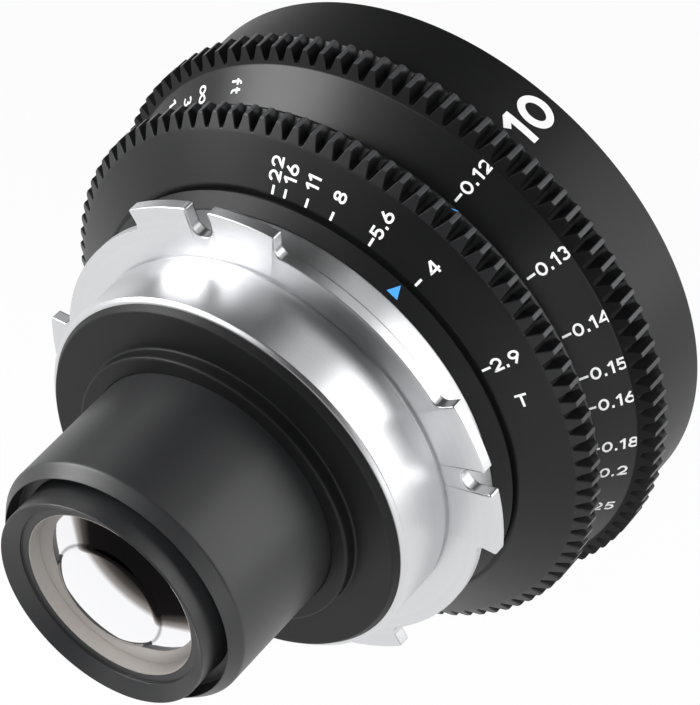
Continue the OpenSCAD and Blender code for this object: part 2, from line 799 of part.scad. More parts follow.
// Outline of a blade, fully open, with its pivot on +X
module blade_outline() {
    inner_r = open_aperture_d / 2;
    outer_r = inner_r + blade_width;
    stud = [blade_pivot_r, 0] + stud_arm;
    side = arm_half_width * [cos(stud_angle / 2), sin(stud_angle / 2)];
    intersection() {
        difference() {
            circle(r = outer_r);
            circle(r = inner_r);
        }
        polygon(slice(2 * outer_r, -blade_sweep, atan(neck_half_width / outer_r)));
    }
    translate([outer_r - neck_overlap, -neck_half_width])
        square([blade_pivot_r - outer_r + neck_overlap, 2 * neck_half_width]);
    translate([blade_pivot_r, 0])
        circle(r = ear_r);
    polygon([[blade_pivot_r, 0] + side, stud + side, stud - side, [blade_pivot_r, 0] - side]);
    translate(stud)
        circle(r = arm_half_width);
}

// One iris blade with its pivot pin and drive stud, at its own level
module iris_blade(index) {
    from = blade_first + index * blade_pitch;
    to = from + blade_thickness;
    stud = [blade_pivot_r, 0] + stud_arm;
    color(blade_black)
        at_angle(index * 360 / blade_count)
            translate([blade_pivot_r, 0, 0])
                at_angle(blade_rest)
                    translate([-blade_pivot_r, 0, 0]) {
                        plate(from, to)
                            blade_outline();
                        axial_pin(blade_pivot_r, pivot_pin_r, base_plate_rear + pin_end_gap, to);
                        translate([stud[0], 0, stud[1]])
                            rod(stud_r, from, drive_rear + stud_reach);
                    }
}

// Thin fixed ring between the iris and focus rings, with the focus index mark
module focus_index_ring() {
    color(black_anodised)
        ring(focus_index_d / 2, iris_seat_d / 2 + seat_fit, focus_index_rear, focus_index_front);
}

// Turning ring with the focus scale on its slope and a drive gear
module focus_ring() {
    bore_r = focus_seat_d / 2 + run_fit;
    pin_hole_r = focus_pin_r + seat_fit;
    color(black_anodised)
        difference() {
            intersection() {
                spun([[bore_r, focus_rear], [scale_rear_r, focus_rear], [scale_rear_r, scale_rear],
                      [scale_front_r, focus_scale_front], [focus_tip_r, focus_tip_rear],
                      [focus_tip_r, focus_front - tip_chamfer], [focus_tip_r - tip_chamfer, focus_front],
                      [bore_r, focus_front]]);
                plate(focus_rear - past, focus_front + past)
                    polygon(gear_outline(focus_teeth));
            }
            for (a = focus_pin_angles)
                at_angle(a)
                    radial_pin(focus_pin_station, pin_hole_r, bore_r - past, bore_r + focus_pin_grip);
        }
}

// Pins that join the focus ring to the sleeve inside the main barrel
module focus_drive_pins() {
    color(dark_steel)
        for (a = focus_pin_angles)
            at_angle(a)
                radial_pin(focus_pin_station, focus_pin_r, sleeve_r - sleeve_wall + pin_end_gap,
                           focus_seat_d / 2 + focus_pin_grip);
}

// Turning sleeve whose thread moves the focus carrier
module focus_sleeve() {
    color(brass)
        difference() {
            ring(sleeve_r, sleeve_r - sleeve_wall, sleeve_rear, sleeve_front);
            for (a = focus_pin_angles)
                at_angle(a)
                    radial_pin(focus_pin_station, focus_pin_r + seat_fit,
                               sleeve_r - sleeve_wall + pin_end_gap, sleeve_r + past);
        }
}

// Straight pins that stop the focus carrier from turning
module guide_pins() {
    color(dark_steel)
        for (a = guide_pin_angles)
            at_angle(a)
                axial_pin(guide_pin_circle_r, guide_pin_r, shelf_front - guide_pin_seat, cell_back);
}

// Sliding carrier of the focus glass
module focus_carrier() {
    color(black_anodised)
        difference() {
            spun([[focus_glass_r - carrier_lip_width, carrier_rear], [carrier_r, carrier_rear],
                  [carrier_r, carrier_front], [focus_glass_r + seat_fit, carrier_front],
                  [focus_glass_r + seat_fit, carrier_rear + carrier_lip],
                  [focus_glass_r - carrier_lip_width, carrier_rear + carrier_lip]]);
            for (a = guide_pin_angles)
                at_angle(a)
                    axial_pin(guide_pin_circle_r, guide_pin_r + run_fit, carrier_rear - past,
                              carrier_front + past);
        }
}

// Hinder half of the pair in the focus carrier
module focus_glass_back() {
    seat = carrier_rear + carrier_lip;
    color(clear_glass)
        glass(focus_glass_r, seat, seat + focus_glass_edge);
}

// Front half of the pair in the focus carrier
module focus_glass_front() {
    seat = carrier_rear + carrier_lip + focus_glass_edge;
    color(clear_glass)
        glass(focus_glass_r, seat, seat + focus_glass_edge, 0, 0, focus_glass_radius,
              focus_glass_r - focus_ring_wall - mouth_gap);
}

// Ring that holds the pair in the focus carrier
module focus_glass_ring() {
    color(dark_steel)
        ring(focus_glass_r, focus_glass_r - focus_ring_wall,
             carrier_rear + carrier_lip + 2 * focus_glass_edge, carrier_front + ring_proud);
}

// Cell of the front glass, seated in the end of the main barrel
module front_cell() {
    color(black_anodised)
        spun([[front_cell_lip_r, cell_back], [front_cell_r, cell_back], [front_cell_r, barrel_front],
              [focus_seat_d / 2, barrel_front], [focus_seat_d / 2, cell_flange_front],
              [front_ring_r + seat_fit, cell_flange_front], [front_ring_r + seat_fit, front_glass_front],
              [front_glass_r + seat_fit, front_glass_front], [front_glass_r + seat_fit, front_glass_rear],
              [front_cell_lip_r, front_glass_rear]]);
}

// Large front glass, hollow behind
module front_glass() {
    color(clear_glass)
        glass(front_glass_r, front_glass_rear, front_glass_front, -front_hollow_radius, front_hollow_d / 2,
              front_glass_radius, front_glass_r - front_ring_lap - mouth_gap);
}

// Ring that holds the front glass in its cell
module front_glass_ring() {
    color(black_anodised)
        ring(front_ring_r, front_glass_r - front_ring_lap, front_glass_front, front_ring_front);
}

// Outer front barrel with the filter thread, fixed to the main barrel
module front_barrel() {
    r = front_d / 2;
    bore_r = focus_seat_d / 2 + seat_fit;
    color(black_anodised)
        spun([[bore_r, front_rear], [r - front_chamfer, front_rear], [r, front_rear + front_chamfer],
              [r, front_rim - front_chamfer], [r - front_chamfer, front_rim], [thread_r, front_rim],
              [thread_r, thread_rear], [trim_r, thread_rear], [trim_r, clamp_rear], [bore_r, clamp_rear]]);
}

// Ring with a flared opening round the front glass, which clamps the front cell
module front_trim_ring() {
    color(black_anodised)
        spun([[front_opening_r, clamp_rear], [trim_r - seat_fit, clamp_rear],
              [trim_r - seat_fit, thread_rear],
              [front_opening_r + trim_flare, thread_rear], [front_opening_r, clamp_rear + trim_edge]]);
}

pl_mount();
mount_shim();
mount_screws();
rear_cover();
rear_barrel();
rear_cell();
rear_glass();
rear_glass_ring();
rear_spacer();
rear_doublet_back();
rear_doublet_front();
main_barrel();
iris_index_ring();
iris_ring();
iris_drive_pin();
iris_base();
iris_drive_ring();
iris_retaining_ring();
for (i = [1:blade_count])
    iris_blade(i - 1);
focus_index_ring();
focus_ring();
focus_drive_pins();
focus_sleeve();
guide_pins();
focus_carrier();
focus_glass_back();
focus_glass_front();
focus_glass_ring();
front_cell();
front_glass();
front_glass_ring();
front_barrel();
front_trim_ring();
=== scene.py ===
"""Looks of a short cinema prime lens, worked out round its packed solids.

The optical axis is Y, the front glass faces +Y. A station is a place along Y and an angle is
measured about the axis from +X towards +Z. Sizes in the functions are in millimetres.
"""
import json
import math

import bpy
import numpy as np
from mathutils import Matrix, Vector


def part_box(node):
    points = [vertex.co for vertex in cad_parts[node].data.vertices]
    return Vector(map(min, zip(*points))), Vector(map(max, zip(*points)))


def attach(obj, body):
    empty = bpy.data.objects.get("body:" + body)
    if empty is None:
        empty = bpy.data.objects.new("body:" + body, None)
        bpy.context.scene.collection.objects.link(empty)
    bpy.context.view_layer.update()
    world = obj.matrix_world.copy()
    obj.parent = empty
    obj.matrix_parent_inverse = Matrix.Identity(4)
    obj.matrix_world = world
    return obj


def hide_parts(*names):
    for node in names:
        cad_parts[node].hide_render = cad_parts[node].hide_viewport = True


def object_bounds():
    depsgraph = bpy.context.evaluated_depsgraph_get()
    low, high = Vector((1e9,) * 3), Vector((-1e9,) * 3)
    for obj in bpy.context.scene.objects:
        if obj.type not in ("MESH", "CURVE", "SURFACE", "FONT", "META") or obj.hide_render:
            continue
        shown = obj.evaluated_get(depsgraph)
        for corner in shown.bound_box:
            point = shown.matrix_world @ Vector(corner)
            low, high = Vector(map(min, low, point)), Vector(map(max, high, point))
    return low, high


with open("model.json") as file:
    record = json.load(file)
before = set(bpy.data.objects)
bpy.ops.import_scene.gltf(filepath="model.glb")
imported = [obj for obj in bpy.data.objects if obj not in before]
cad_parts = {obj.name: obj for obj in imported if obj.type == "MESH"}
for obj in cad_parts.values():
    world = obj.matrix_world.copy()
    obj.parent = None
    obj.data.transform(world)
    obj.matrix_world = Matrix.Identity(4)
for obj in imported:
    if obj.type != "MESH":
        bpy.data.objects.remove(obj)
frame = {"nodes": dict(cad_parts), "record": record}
SOLID_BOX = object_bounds()

bl_info = {
    "name": "Cinema prime lens looks",
    "version": (1, 0, 0),
    "blender": (4, 5, 0),
    "location": "View3D > Sidebar > Lens",
    "description": "Dresses the packed solids of a cinema prime lens with surfaces, scales and finishes",
    "category": "Object",
}

MM = 0.001
# Columns round the axis
ROUND_STEPS = 288
# Easings of corners, and the place of the row beside an easing that keeps a flat flat in shading, in easings
EDGE, SMALL_EDGE, FLAT = 0.12, 0.1, 1.7
# Faces whose normal has this share along the axis, or more, are square to it
SQUARE = 0.9998
# Clearance between fitted pieces, round them and along the axis
ROOM, END_ROOM = 0.03, 0.02
# The greatest share of an edge that an easing takes, and the least length that is divided by
EDGE_SHARE, TINY = 0.29, 1e-9


# Sizes and colours


def length(name, value, description):
    """A length in millimetres that the panel shows in scene units."""
    return bpy.props.FloatProperty(
        name=name, description=description, default=value * MM, min=0.0, unit="LENGTH", subtype="DISTANCE",
        precision=5)


def angle(name, value, description):
    """An angle given in degrees."""
    return bpy.props.FloatProperty(
        name=name, description=description, default=math.radians(value), unit="ROTATION", subtype="ANGLE")


def colour(name, value, description):
    """A linear colour."""
    return bpy.props.FloatVectorProperty(
        name=name, description=description, default=value, size=3, min=0.0, max=1.0, subtype="COLOR")


def tooth_count(name, value, description):
    """A number of teeth."""
    return bpy.props.IntProperty(name=name, description=description, default=value, min=8)


def group(name, kind):
    """A group of settings, described by its own docstring."""
    return bpy.props.PointerProperty(type=kind, name=name, description=kind.__doc__.rstrip("."))


class LensMountSizes(bpy.types.PropertyGroup):
    """Sizes of the bright mount."""
    tube_r: length("Tube radius", 27.0, "Radius of the locating tube")
    tube_bore_r: length("Tube bore", 24.5, "Inner radius of the locating tube")
    tube_length: length("Tube length", 9.2, "Length of the tube behind the flange seat")
    flange_r: length("Flange radius", 31.3, "Radius of the flange between its tabs")
    tab_r: length("Tab radius", 34.2, "Radius across the tabs")
    flange_thickness: length("Flange thickness", 1.75, "Thickness of the flange and tabs")
    tab_angle: angle("Tab angle", 39.4, "Angle that one tab covers")
    tab_phase: angle("Tab phase", 17.2, "Angle of the middle of the first tab")
    tab_fillet: length("Tab fillet", 1.2, "Fillet at the foot of a tab's end")
    notch_width: length("Notch width", 3.4, "Width of the key notch in each tab")
    notch_floor_r: length("Notch floor", 30.2, "Radius on which the notches end")
    neck_r: length("Neck radius", 29.9, "Radius of the neck in front of the flange")
    neck_front: length("Neck front", 5.95, "Station of the neck's front")
    neck_wall: length("Neck wall", 2.4, "Wall of the neck")
    web_r: length("Web bore", 20.0, "Radius of the bore in the screw web")


class RearSizes(bpy.types.PropertyGroup):
    """Sizes of the rear group."""
    barrel_r: length("Barrel radius", 18.0, "Radius of the rear barrel")
    barrel_reach: length("Barrel reach", 31.85, "Distance from the seat to the barrel's end")
    chamfer: length("Chamfer", 1.2, "Width of the chamfer at the barrel's end")
    chamfer_length: length("Chamfer length", 1.65, "Length of that chamfer")
    cell_r: length("Cell radius", 15.2, "Radius of the rear cell")
    cell_reach: length("Cell reach", 34.9, "Distance from the seat to the cell's end")
    slope_r: length("Slope radius", 13.3, "Inner radius of the cell's sloped face")
    slope_depth: length("Slope depth", 1.5, "Depth of the sloped face")
    window_r: length("Window radius", 12.3, "Radius of the rear window")
    dome_r: length("Dome radius", 7.3, "Radius of the rear lens's dome inside its sloped rim")
    dome_reach: length("Dome reach", 33.2, "Distance from the seat to the dome's foot")
    cover_r: length("Cover radius", 26.3, "Radius of the rear cover")
    cover_reach: length("Cover reach", 10.15, "Distance from the seat to the cover's face")
    collar_r: length("Collar radius", 20.3, "Radius of the cover's collar")
    collar_reach: length("Collar reach", 12.1, "Distance from the seat to the collar's face")


class RingSizes(bpy.types.PropertyGroup):
    """Sizes of the turning rings and their index rings."""
    gear_module: length("Gear module", 0.8, "Module of both gears")
    iris_teeth: tooth_count("Iris teeth", 97, "Teeth on the iris ring")
    focus_teeth: tooth_count("Focus teeth", 102, "Teeth on the focus ring")
    tooth_edge: length("Tooth edge", 0.11, "Rounding of the tooth edges")
    iris_rear_r: length("Iris rear radius", 32.1, "Radius of the iris ring's rear edge")
    iris_rear: length("Iris rear", 8.4, "Station of the iris ring's rear edge")
    iris_lip: length("Iris lip", 8.0, "Station of the iris ring's inner lip")
    crease_r: length("Iris crease radius", 37.65, "Radius of the crease in the iris ring's slope")
    crease: length("Iris crease", 11.92, "Station of that crease")
    iris_tip_rear: length("Iris tips", 13.3, "Station where the iris teeth reach their tips")
    iris_front: length("Iris front", 15.4, "Station of the iris ring's front")
    iris_bore_r: length("Iris bore", 28.05, "Bore of the iris ring")
    focus_rear: length("Focus rear", 16.25, "Station of the focus ring's rear")
    scale_rear_r: length("Scale rear radius", 34.2, "Radius of the distance scale's rear edge")
    scale_rear: length("Scale rear", 17.9, "Station of the distance scale's rear edge")
    scale_r: length("Scale front radius", 39.5, "Radius of the distance scale's front edge")
    scale_front: length("Scale front", 24.0, "Station of the distance scale's front")
    focus_tip_rear: length("Focus tips", 25.0, "Station where the focus teeth reach their tips")
    focus_front: length("Focus front", 28.05, "Station of the focus ring's front")
    focus_bore_r: length("Focus bore", 33.05, "Bore of the focus ring")
    index_r: length("Iris index radius", 31.55, "Front radius of the iris index ring")
    index_front: length("Iris index front", 7.85, "Front station of the iris index ring")
    focus_index_r: length("Focus index radius", 38.8, "Radius of the focus index ring")
    focus_index_rear: length("Focus index rear", 15.55, "Rear station of the focus index ring")
    focus_index_front: length("Focus index front", 16.1, "Front station of the focus index ring")
    numeral: length("Numeral height", 1.88, "Height of the iris scale's numerals")
    focus_numeral: length("Distance numeral height", 1.83, "Height of the distance scale's numerals")
    mark_lift: length("Mark height", 0.012, "How far the filled marks stand out")


class FrontSizes(bpy.types.PropertyGroup):
    """Sizes of the front group."""
    barrel_r: length("Barrel radius", 40.0, "Radius of the front barrel")
    rear: length("Rear", 28.2, "Station of the front barrel's rear")
    rim: length("Rim", 38.2, "Station of the front rim")
    thread_r: length("Thread radius", 38.1, "Core radius of the filter thread")
    thread_rear: length("Thread rear", 34.4, "Station where the thread ends")
    thread_pitch: length("Thread pitch", 0.75, "Pitch of the filter thread")
    bore_r: length("Bore", 33.03, "Bore of the front barrel over the main barrel")
    trim_r: length("Trim radius", 36.97, "Outer radius of the trim ring")
    opening_r: length("Opening", 26.5, "Radius of the trim ring's opening")
    flare: length("Flare", 3.0, "Widening of that opening to the front")
    glass_r: length("Glass radius", 25.0, "Radius of the front glass")
    number_height: length("Number height", 5.2, "Height of the focal-length number")


class FinishColours(bpy.types.PropertyGroup):
    """Colours of the finishes."""
    anodised: colour("Anodised black", (0.0046, 0.0047, 0.0050), "Black anodised barrels")
    # Paler than the other blacks, partly as painted light standing for brighter light on the rear barrel
    rear_black_painted_light: colour("Rear black", (0.0125, 0.0128, 0.0138), "Black anodised rear barrel and cover")
    ring_black: colour("Ring black", (0.0042, 0.0043, 0.0046), "Black anodised turning rings")
    bright: colour("Bright metal", (0.72, 0.725, 0.74), "Satin plated mount")
    white: colour("Mark white", (0.86, 0.86, 0.86), "Filled numerals")
    blue: colour("Mark blue", (0.045, 0.33, 0.86), "Filled index marks")
    brass: colour("Brass", (0.52, 0.36, 0.12), "Bare turned brass")
    steel: colour("Dark steel", (0.11, 0.11, 0.12), "Dark steel")
    blade: colour("Blade black", (0.018, 0.018, 0.02), "Matt black blades")
    glass: colour("Glass", (0.95, 0.97, 0.97), "Coated glass")
    ground: colour("Ground glass", (0.36, 0.335, 0.31), "Ground edge of the rear lens")


class StageSettings(bpy.types.PropertyGroup):
    """Camera and stage."""
    azimuth: angle("Azimuth", 34.459, "Camera's turn about the upright")
    elevation: angle("Elevation", 44.802, "Camera's height over the horizon")
    distance: length("Distance", 466.916, "Distance from the aim to the camera")
    aim: bpy.props.FloatVectorProperty(
        name="Aim", description="Point that the camera looks at", default=(0.012379, 0.000214, 0.021076),
        size=3, subtype="XYZ", unit="LENGTH")
    focal_pixels: bpy.props.FloatProperty(
        name="Focal length in pixels", description="Focal length for a picture 705 pixels high",
        default=3875.92)
    floor_drop: length("Floor drop", 60.0, "Distance from the lens down to the floor")


class LensLooks(bpy.types.PropertyGroup):
    """Everything that the panel shows."""
    mount: group("Mount", LensMountSizes)
    rear: group("Rear", RearSizes)
    rings: group("Rings", RingSizes)
    front: group("Front", FrontSizes)
    finish: group("Finishes", FinishColours)
    stage: group("Stage", StageSettings)


class Sizes:
    """The lengths of a property group in millimetres and its angles in radians."""

    def __init__(self, settings):
        for key, prop in settings.bl_rna.properties.items():
            if key in ("rna_type", "name"):
                continue
            value = getattr(settings, key)
            setattr(self, key, value / MM if prop.type == "FLOAT" and prop.unit == "LENGTH" else value)


# Surfaces


def eased(points, size, steps=3):
    """A closed profile with its corners eased: each corner P becomes the parabola from P + t a to P + t b,
    where a and b point along its two edges and t is the size, held to a share of the shorter edge. One more
    point each side, a little further out, keeps the flats flat in shading. Points run down axis 0, and
    further axes carry many profiles at once."""
    p = np.asarray(points, float)
    back = np.roll(p, 1, 0) - p
    ahead = np.roll(p, -1, 0) - p
    back_len = np.maximum(np.linalg.norm(back, axis=-1, keepdims=True), TINY)
    ahead_len = np.maximum(np.linalg.norm(ahead, axis=-1, keepdims=True), TINY)
    size = np.asarray(size, float)
    size = np.broadcast_to(size.reshape(size.shape + (1,) * (p.ndim - size.ndim)), back_len.shape)
    t = np.minimum(size, EDGE_SHARE * np.minimum(back_len, ahead_len))
    a = back / back_len
    b = ahead / ahead_len
    s = np.linspace(0, 1, steps + 1).reshape((1, -1) + (1,) * (p.ndim - 1))
    curve = ((1 - s) ** 2 * (p + t * a)[:, None] + 2 * s * (1 - s) * p[:, None]
             + s ** 2 * (p + t * b)[:, None])
    rows = np.concatenate([(p + FLAT * t * a)[:, None], curve, (p + FLAT * t * b)[:, None]], 1)
    return rows.reshape((-1,) + p.shape[1:])


def turned_grid(radius, turn, station, closed=True):
    """Surface r(i, j) (cos t(i, j), sin t(i, j)) at station y(i, j): rows i follow the profile and
    columns j go once round the axis, so the last column meets the first. A closed profile also joins its
    last row to its first."""
    radius, turn, station = np.broadcast_arrays(radius, turn, station)
    rows, cols = radius.shape
    points = np.stack([radius * np.cos(turn), station, radius * np.sin(turn)], -1).reshape(-1, 3)
    i = np.arange(rows if closed else rows - 1)[:, None]
    j = np.arange(cols)[None, :]
    i2 = (i + 1) % rows
    j2 = (j + 1) % cols
    quads = np.stack([i * cols + j, i2 * cols + j, i2 * cols + j2, i * cols + j2], -1).reshape(-1, 4)
    return points, quads, np.zeros((0, 3), int)


def turned_ring(profile, special=None, plain=SMALL_EDGE):
    """Ring of revolution: a closed profile of (radius, station) corners, eased and swept round the axis.
    Corners that are named in special have their own easing, the others the plain one. The profile is put
    in the order that makes faces point outwards, which is a positive area in the radius-station plane."""
    p = np.asarray(profile, float)
    size = np.full(len(p), plain)
    size[list(special or {})] = list((special or {}).values())
    if profile_area(p) < 0:
        p, size = p[::-1], size[::-1]
    rows = eased(p, size)
    turn = np.arange(ROUND_STEPS) * 2 * np.pi / ROUND_STEPS
    return turned_grid(rows[:, :1], turn[None, :], rows[:, 1:])


def profile_area(p):
    """Signed area of a closed profile."""
    q = np.roll(p, -1, 0)
    return 0.5 * float(np.sum(p[:, 0] * q[:, 1] - q[:, 0] * p[:, 1]))


def turned_disc(rows, steps=ROUND_STEPS):
    """Solid of revolution from an open profile whose ends lie on the axis: the rows between are swept
    round it, and a fan of triangles closes each pole."""
    rows = np.asarray(rows, float)
    turn = np.arange(steps) * 2 * np.pi / steps
    points, quads, _ = turned_grid(rows[1:-1, :1], turn[None, :], rows[1:-1, 1:], closed=False)
    count = len(points)
    points = np.concatenate([points, [[0, rows[0, 1], 0], [0, rows[-1, 1], 0]]])
    j = np.arange(steps)
    j2 = (j + 1) % steps
    last = count - steps
    low = np.stack([np.full(steps, count), j, j2], -1)
    high = np.stack([np.full(steps, count + 1), last + j2, last + j], -1)
    return points, quads, np.concatenate([low, high])


def cap_curve(radius, mouth, station, way, count=14):
    """Points (r, y) of a spherical cap with rim radius m, from its rim to the axis:
    y = station + way (sqrt(R^2 - r^2) - sqrt(R^2 - m^2))."""
    r = np.linspace(mouth, 0, count)
    y = station + way * (np.sqrt(radius ** 2 - r ** 2) - math.sqrt(radius ** 2 - mouth ** 2))
    return np.stack([r, y], -1)


def joined(*shells):
    """Several shells as one, with the later corner numbers moved up."""
    start = np.cumsum([0] + [len(s[0]) for s in shells])
    return (np.concatenate([s[0] for s in shells]),
            np.concatenate([s[1] + n for s, n in zip(shells, start)]),
            np.concatenate([s[2] + n for s, n in zip(shells, start)]))


def enclosed(shell):
    """Volume that a shell encloses, positive when its faces point outwards."""
    points, quads, tris = shell
    faces = np.concatenate([tris, quads[:, [0, 1, 2]], quads[:, [0, 2, 3]]])
    a, b, c = (points[faces[:, k]] for k in range(3))
    return float(np.einsum("ij,ij->i", a, np.cross(b, c)).sum() / 6)


def piece(name, shell, key, stands_for=None, body="lens_body", sharp=None):
    """Puts a shell into a mesh object at the origin, with its finish, the node it stands for and the body
    it rides on. Faces square to the axis are shaded flat."""
    points, quads, tris = shell
    if enclosed(shell) <= 0:
        raise RuntimeError(f"{name}: its faces point inwards")
    mesh = bpy.data.meshes.new(name)
    corners = np.concatenate([quads.ravel(), tris.ravel()])
    starts = np.concatenate([np.arange(len(quads)) * 4, len(quads) * 4 + np.arange(len(tris)) * 3])
    mesh.vertices.add(len(points))
    mesh.vertices.foreach_set("co", (points * MM).astype(np.float32).ravel())
    mesh.loops.add(len(corners))
    mesh.loops.foreach_set("vertex_index", corners.astype(np.int32))
    mesh.polygons.add(len(starts))
    mesh.polygons.foreach_set("loop_start", starts.astype(np.int32))
    mesh.update(calc_edges=True)
    mesh.validate()
    mesh.shade_smooth()
    facing = np.empty(len(mesh.polygons) * 3)
    mesh.polygons.foreach_get("normal", facing)
    mesh.polygons.foreach_set("use_smooth", np.abs(facing[1::3]) < SQUARE)
    if sharp is not None:
        mesh.set_sharp_from_angle(angle=math.radians(sharp))
    obj = bpy.data.objects.new(name, mesh)
    bpy.context.scene.collection.objects.link(obj)
    mesh.materials.append(finish(key))
    if stands_for:
        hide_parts(stands_for)
    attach(obj, body)
    return obj


# Gears


# Depth of a tooth in modules, and the lean of its flanks in degrees
TOOTH_DEPTH, FLANK_LEAN = 2.125, 20


def tooth_columns(teeth, module, edge):
    """Outline of a gear as angle and radius arrays: straight leaning flanks between root and tip, all
    corners eased. One tooth is eased with a neighbour on each side, so that it repeats, and is then
    turned to each pitch."""
    pitch_r = module * teeth / 2
    depth = TOOTH_DEPTH * module
    tip_r = tip_radius(module, teeth)
    root_r = tip_r - depth
    half = math.pi * module / 4
    lean = math.tan(math.radians(FLANK_LEAN))
    tip_half = half - module * lean
    root_half = half + (depth - module) * lean
    tooth = np.array([[-root_half / root_r * pitch_r, root_r], [-tip_half / tip_r * pitch_r, tip_r],
                      [tip_half / tip_r * pitch_r, tip_r], [root_half / root_r * pitch_r, root_r]])
    pitch = np.array([2 * math.pi * pitch_r / teeth, 0])
    three = np.concatenate([tooth - pitch, tooth, tooth + pitch])
    rows = eased(three, edge, steps=2)
    one = rows.reshape(3, -1, 2)[1]
    turn = (np.arange(teeth)[:, None] * 2 * np.pi / teeth + one[None, :, 0] / pitch_r).ravel()
    radius = np.tile(one[:, 1], teeth)
    return turn, radius


# Length of the cutter's run-out at the front of the tooth gaps, how far under the tips it ends, and the
# bevel at the tips' rear ends
RUN_OUT, RUN_OUT_DROP, TIP_BEVEL = 1.1, 0.45, 0.06


def geared_ring(corners_behind, slope, front, bore_r, teeth, module, edge):
    """Ring whose rear slope runs into gear teeth. For each column of the gear's outline at radius g the
    profile is: the corners behind, the slope's start, the point where the slope reaches g, straight
    forward at g, the cutter's run-out up to a radius below the tips, the front face and the bore. All its
    corners are eased, the tips' rear ends most."""
    turn, g = tooth_columns(teeth, module, edge)
    (r0, y0), (r1, y1) = slope
    meet = y0 + (g - r0) / (r1 - r0) * (y1 - y0)
    plain = np.ones_like(g)
    flat = [np.broadcast_to(np.array(c, float), (len(g), 2)) for c in corners_behind + [slope[0]]]
    tooth = [np.stack([g, meet], -1), np.stack([g, (front - RUN_OUT) * plain], -1),
             np.stack([np.maximum(g, r1 - RUN_OUT_DROP), front * plain], -1)]
    bore = [np.broadcast_to(np.array([bore_r, front], float), (len(g), 2))]
    height = (g - g.min()) / (g.max() - g.min())
    tips = edge + TIP_BEVEL * height ** 2
    size = np.stack([EDGE * plain] * len(flat) + [tips, SMALL_EDGE * plain, EDGE * plain, EDGE * plain])
    rows = eased(np.stack(flat + tooth + bore), size, steps=2)
    return turned_grid(rows[..., 0], turn[None, :], rows[..., 1])


def tip_radius(module, teeth):
    """Radius over the tips of a gear."""
    return module * (teeth + 2) / 2


def iris_slope(s):
    """Both ends (radius, station) of the slope that the iris teeth are cut into."""
    return (s.crease_r, s.crease), (tip_radius(s.gear_module, s.iris_teeth), s.iris_tip_rear)


def focus_slope(s):
    """Both ends (radius, station) of the slope that the focus teeth are cut into."""
    return (s.scale_r, s.scale_front), (tip_radius(s.gear_module, s.focus_teeth), s.focus_tip_rear)


# Marks


def arc(cx, cy, rx, ry, start, end, count=15):
    """Points on an ellipse from one angle to another, in degrees."""
    a = np.radians(np.linspace(start, end, count))
    return np.stack([cx + rx * np.cos(a), cy + ry * np.sin(a)], -1)


def strokes():
    """Centre lines of the plain scale numerals in a box one unit high, with the width of each sign."""
    six = [arc(0.40, 0.335, 0.29, 0.235, 90, 450, 25), np.array([[0.50, 0.96], [0.16, 0.47]])]
    loop = np.linspace(0, 2 * np.pi, 33)
    endless = np.stack([0.72 + 0.60 * np.cos(loop) / (1 + np.sin(loop) ** 2),
                        0.5 + 0.86 * np.sin(loop) * np.cos(loop) / (1 + np.sin(loop) ** 2)], -1)
    return {
        "0": (0.80, [arc(0.40, 0.5, 0.30, 0.40, 90, 450, 29)]),
        "1": (0.46, [np.array([[0.34, 0.0], [0.34, 1.0]]), np.array([[0.04, 0.70], [0.32, 0.92]])]),
        "2": (0.80, [np.concatenate([arc(0.39, 0.62, 0.29, 0.28, 172, -38), [[0.14, 0.10], [0.78, 0.10]]])]),
        "3": (0.72, [arc(0.33, 0.70, 0.23, 0.21, 155, -80), arc(0.33, 0.32, 0.27, 0.23, 80, -155)]),
        "4": (0.84, [np.array([[0.60, 0.97], [0.08, 0.30], [0.84, 0.30]]),
                     np.array([[0.62, 0.0], [0.62, 0.97]])]),
        "5": (0.78, [np.concatenate([[[0.68, 0.90], [0.20, 0.90], [0.16, 0.52]],
                                     arc(0.38, 0.34, 0.28, 0.24, 118, -150)])]),
        "6": (0.80, six),
        "7": (0.74, [np.array([[0.04, 0.90], [0.66, 0.90], [0.26, 0.0]])]),
        "8": (0.80, [arc(0.40, 0.715, 0.235, 0.185, -90, 270, 25),
                     arc(0.40, 0.305, 0.29, 0.205, 90, 450, 25)]),
        "9": (0.80, [np.array([0.80, 1.0]) - line for line in six]),
        ".": (0.22, [np.array([[0.11, 0.0], [0.11, 0.22]])]),
        "T": (0.78, [np.array([[0.0, 0.90], [0.78, 0.90]]), np.array([[0.39, 0.0], [0.39, 0.90]])]),
        "m": (1.02, [np.array([[0.10, 0.0], [0.10, 0.70]]),
                     np.concatenate([arc(0.305, 0.40, 0.205, 0.20, 180, 0), [[0.51, 0.0]]]),
                     np.concatenate([arc(0.715, 0.40, 0.205, 0.20, 180, 0), [[0.92, 0.0]]])]),
        "f": (0.52, [np.concatenate([arc(0.44, 0.74, 0.22, 0.18, 90, 180), [[0.22, 0.0]]]),
                     np.array([[0.02, 0.58], [0.48, 0.58]])]),
        "t": (0.52, [np.concatenate([[[0.20, 0.92]], arc(0.42, 0.28, 0.22, 0.20, 180, 270)]),
                     np.array([[0.02, 0.60], [0.46, 0.60]])]),
        "oo": (1.44, [endless]),
    }


SIGNS = strokes()
# Gap between signs and width of a stroke, both for a height of one
SIGN_GAP, WEIGHT = 0.13, 0.17
# How deep a mark sits, the width of a tick, and how far a stroke's corner may stretch
MARK_DEPTH, TICK_WIDTH, MOST_MITRE = 0.06, 0.34, 1.6


def fine_line(line, step=0.12):
    """A polyline with its corners kept and points added between them, so that it can bend over a round
    surface."""
    far = np.concatenate([[0], np.cumsum(np.linalg.norm(np.diff(line, axis=0), axis=1))])
    t = np.union1d(far, np.linspace(0, far[-1], int(far[-1] / step) + 2))
    t = t[np.concatenate([[True], np.diff(t) > 1e-4])]
    return np.stack([np.interp(t, far, line[:, k]) for k in range(2)], -1)


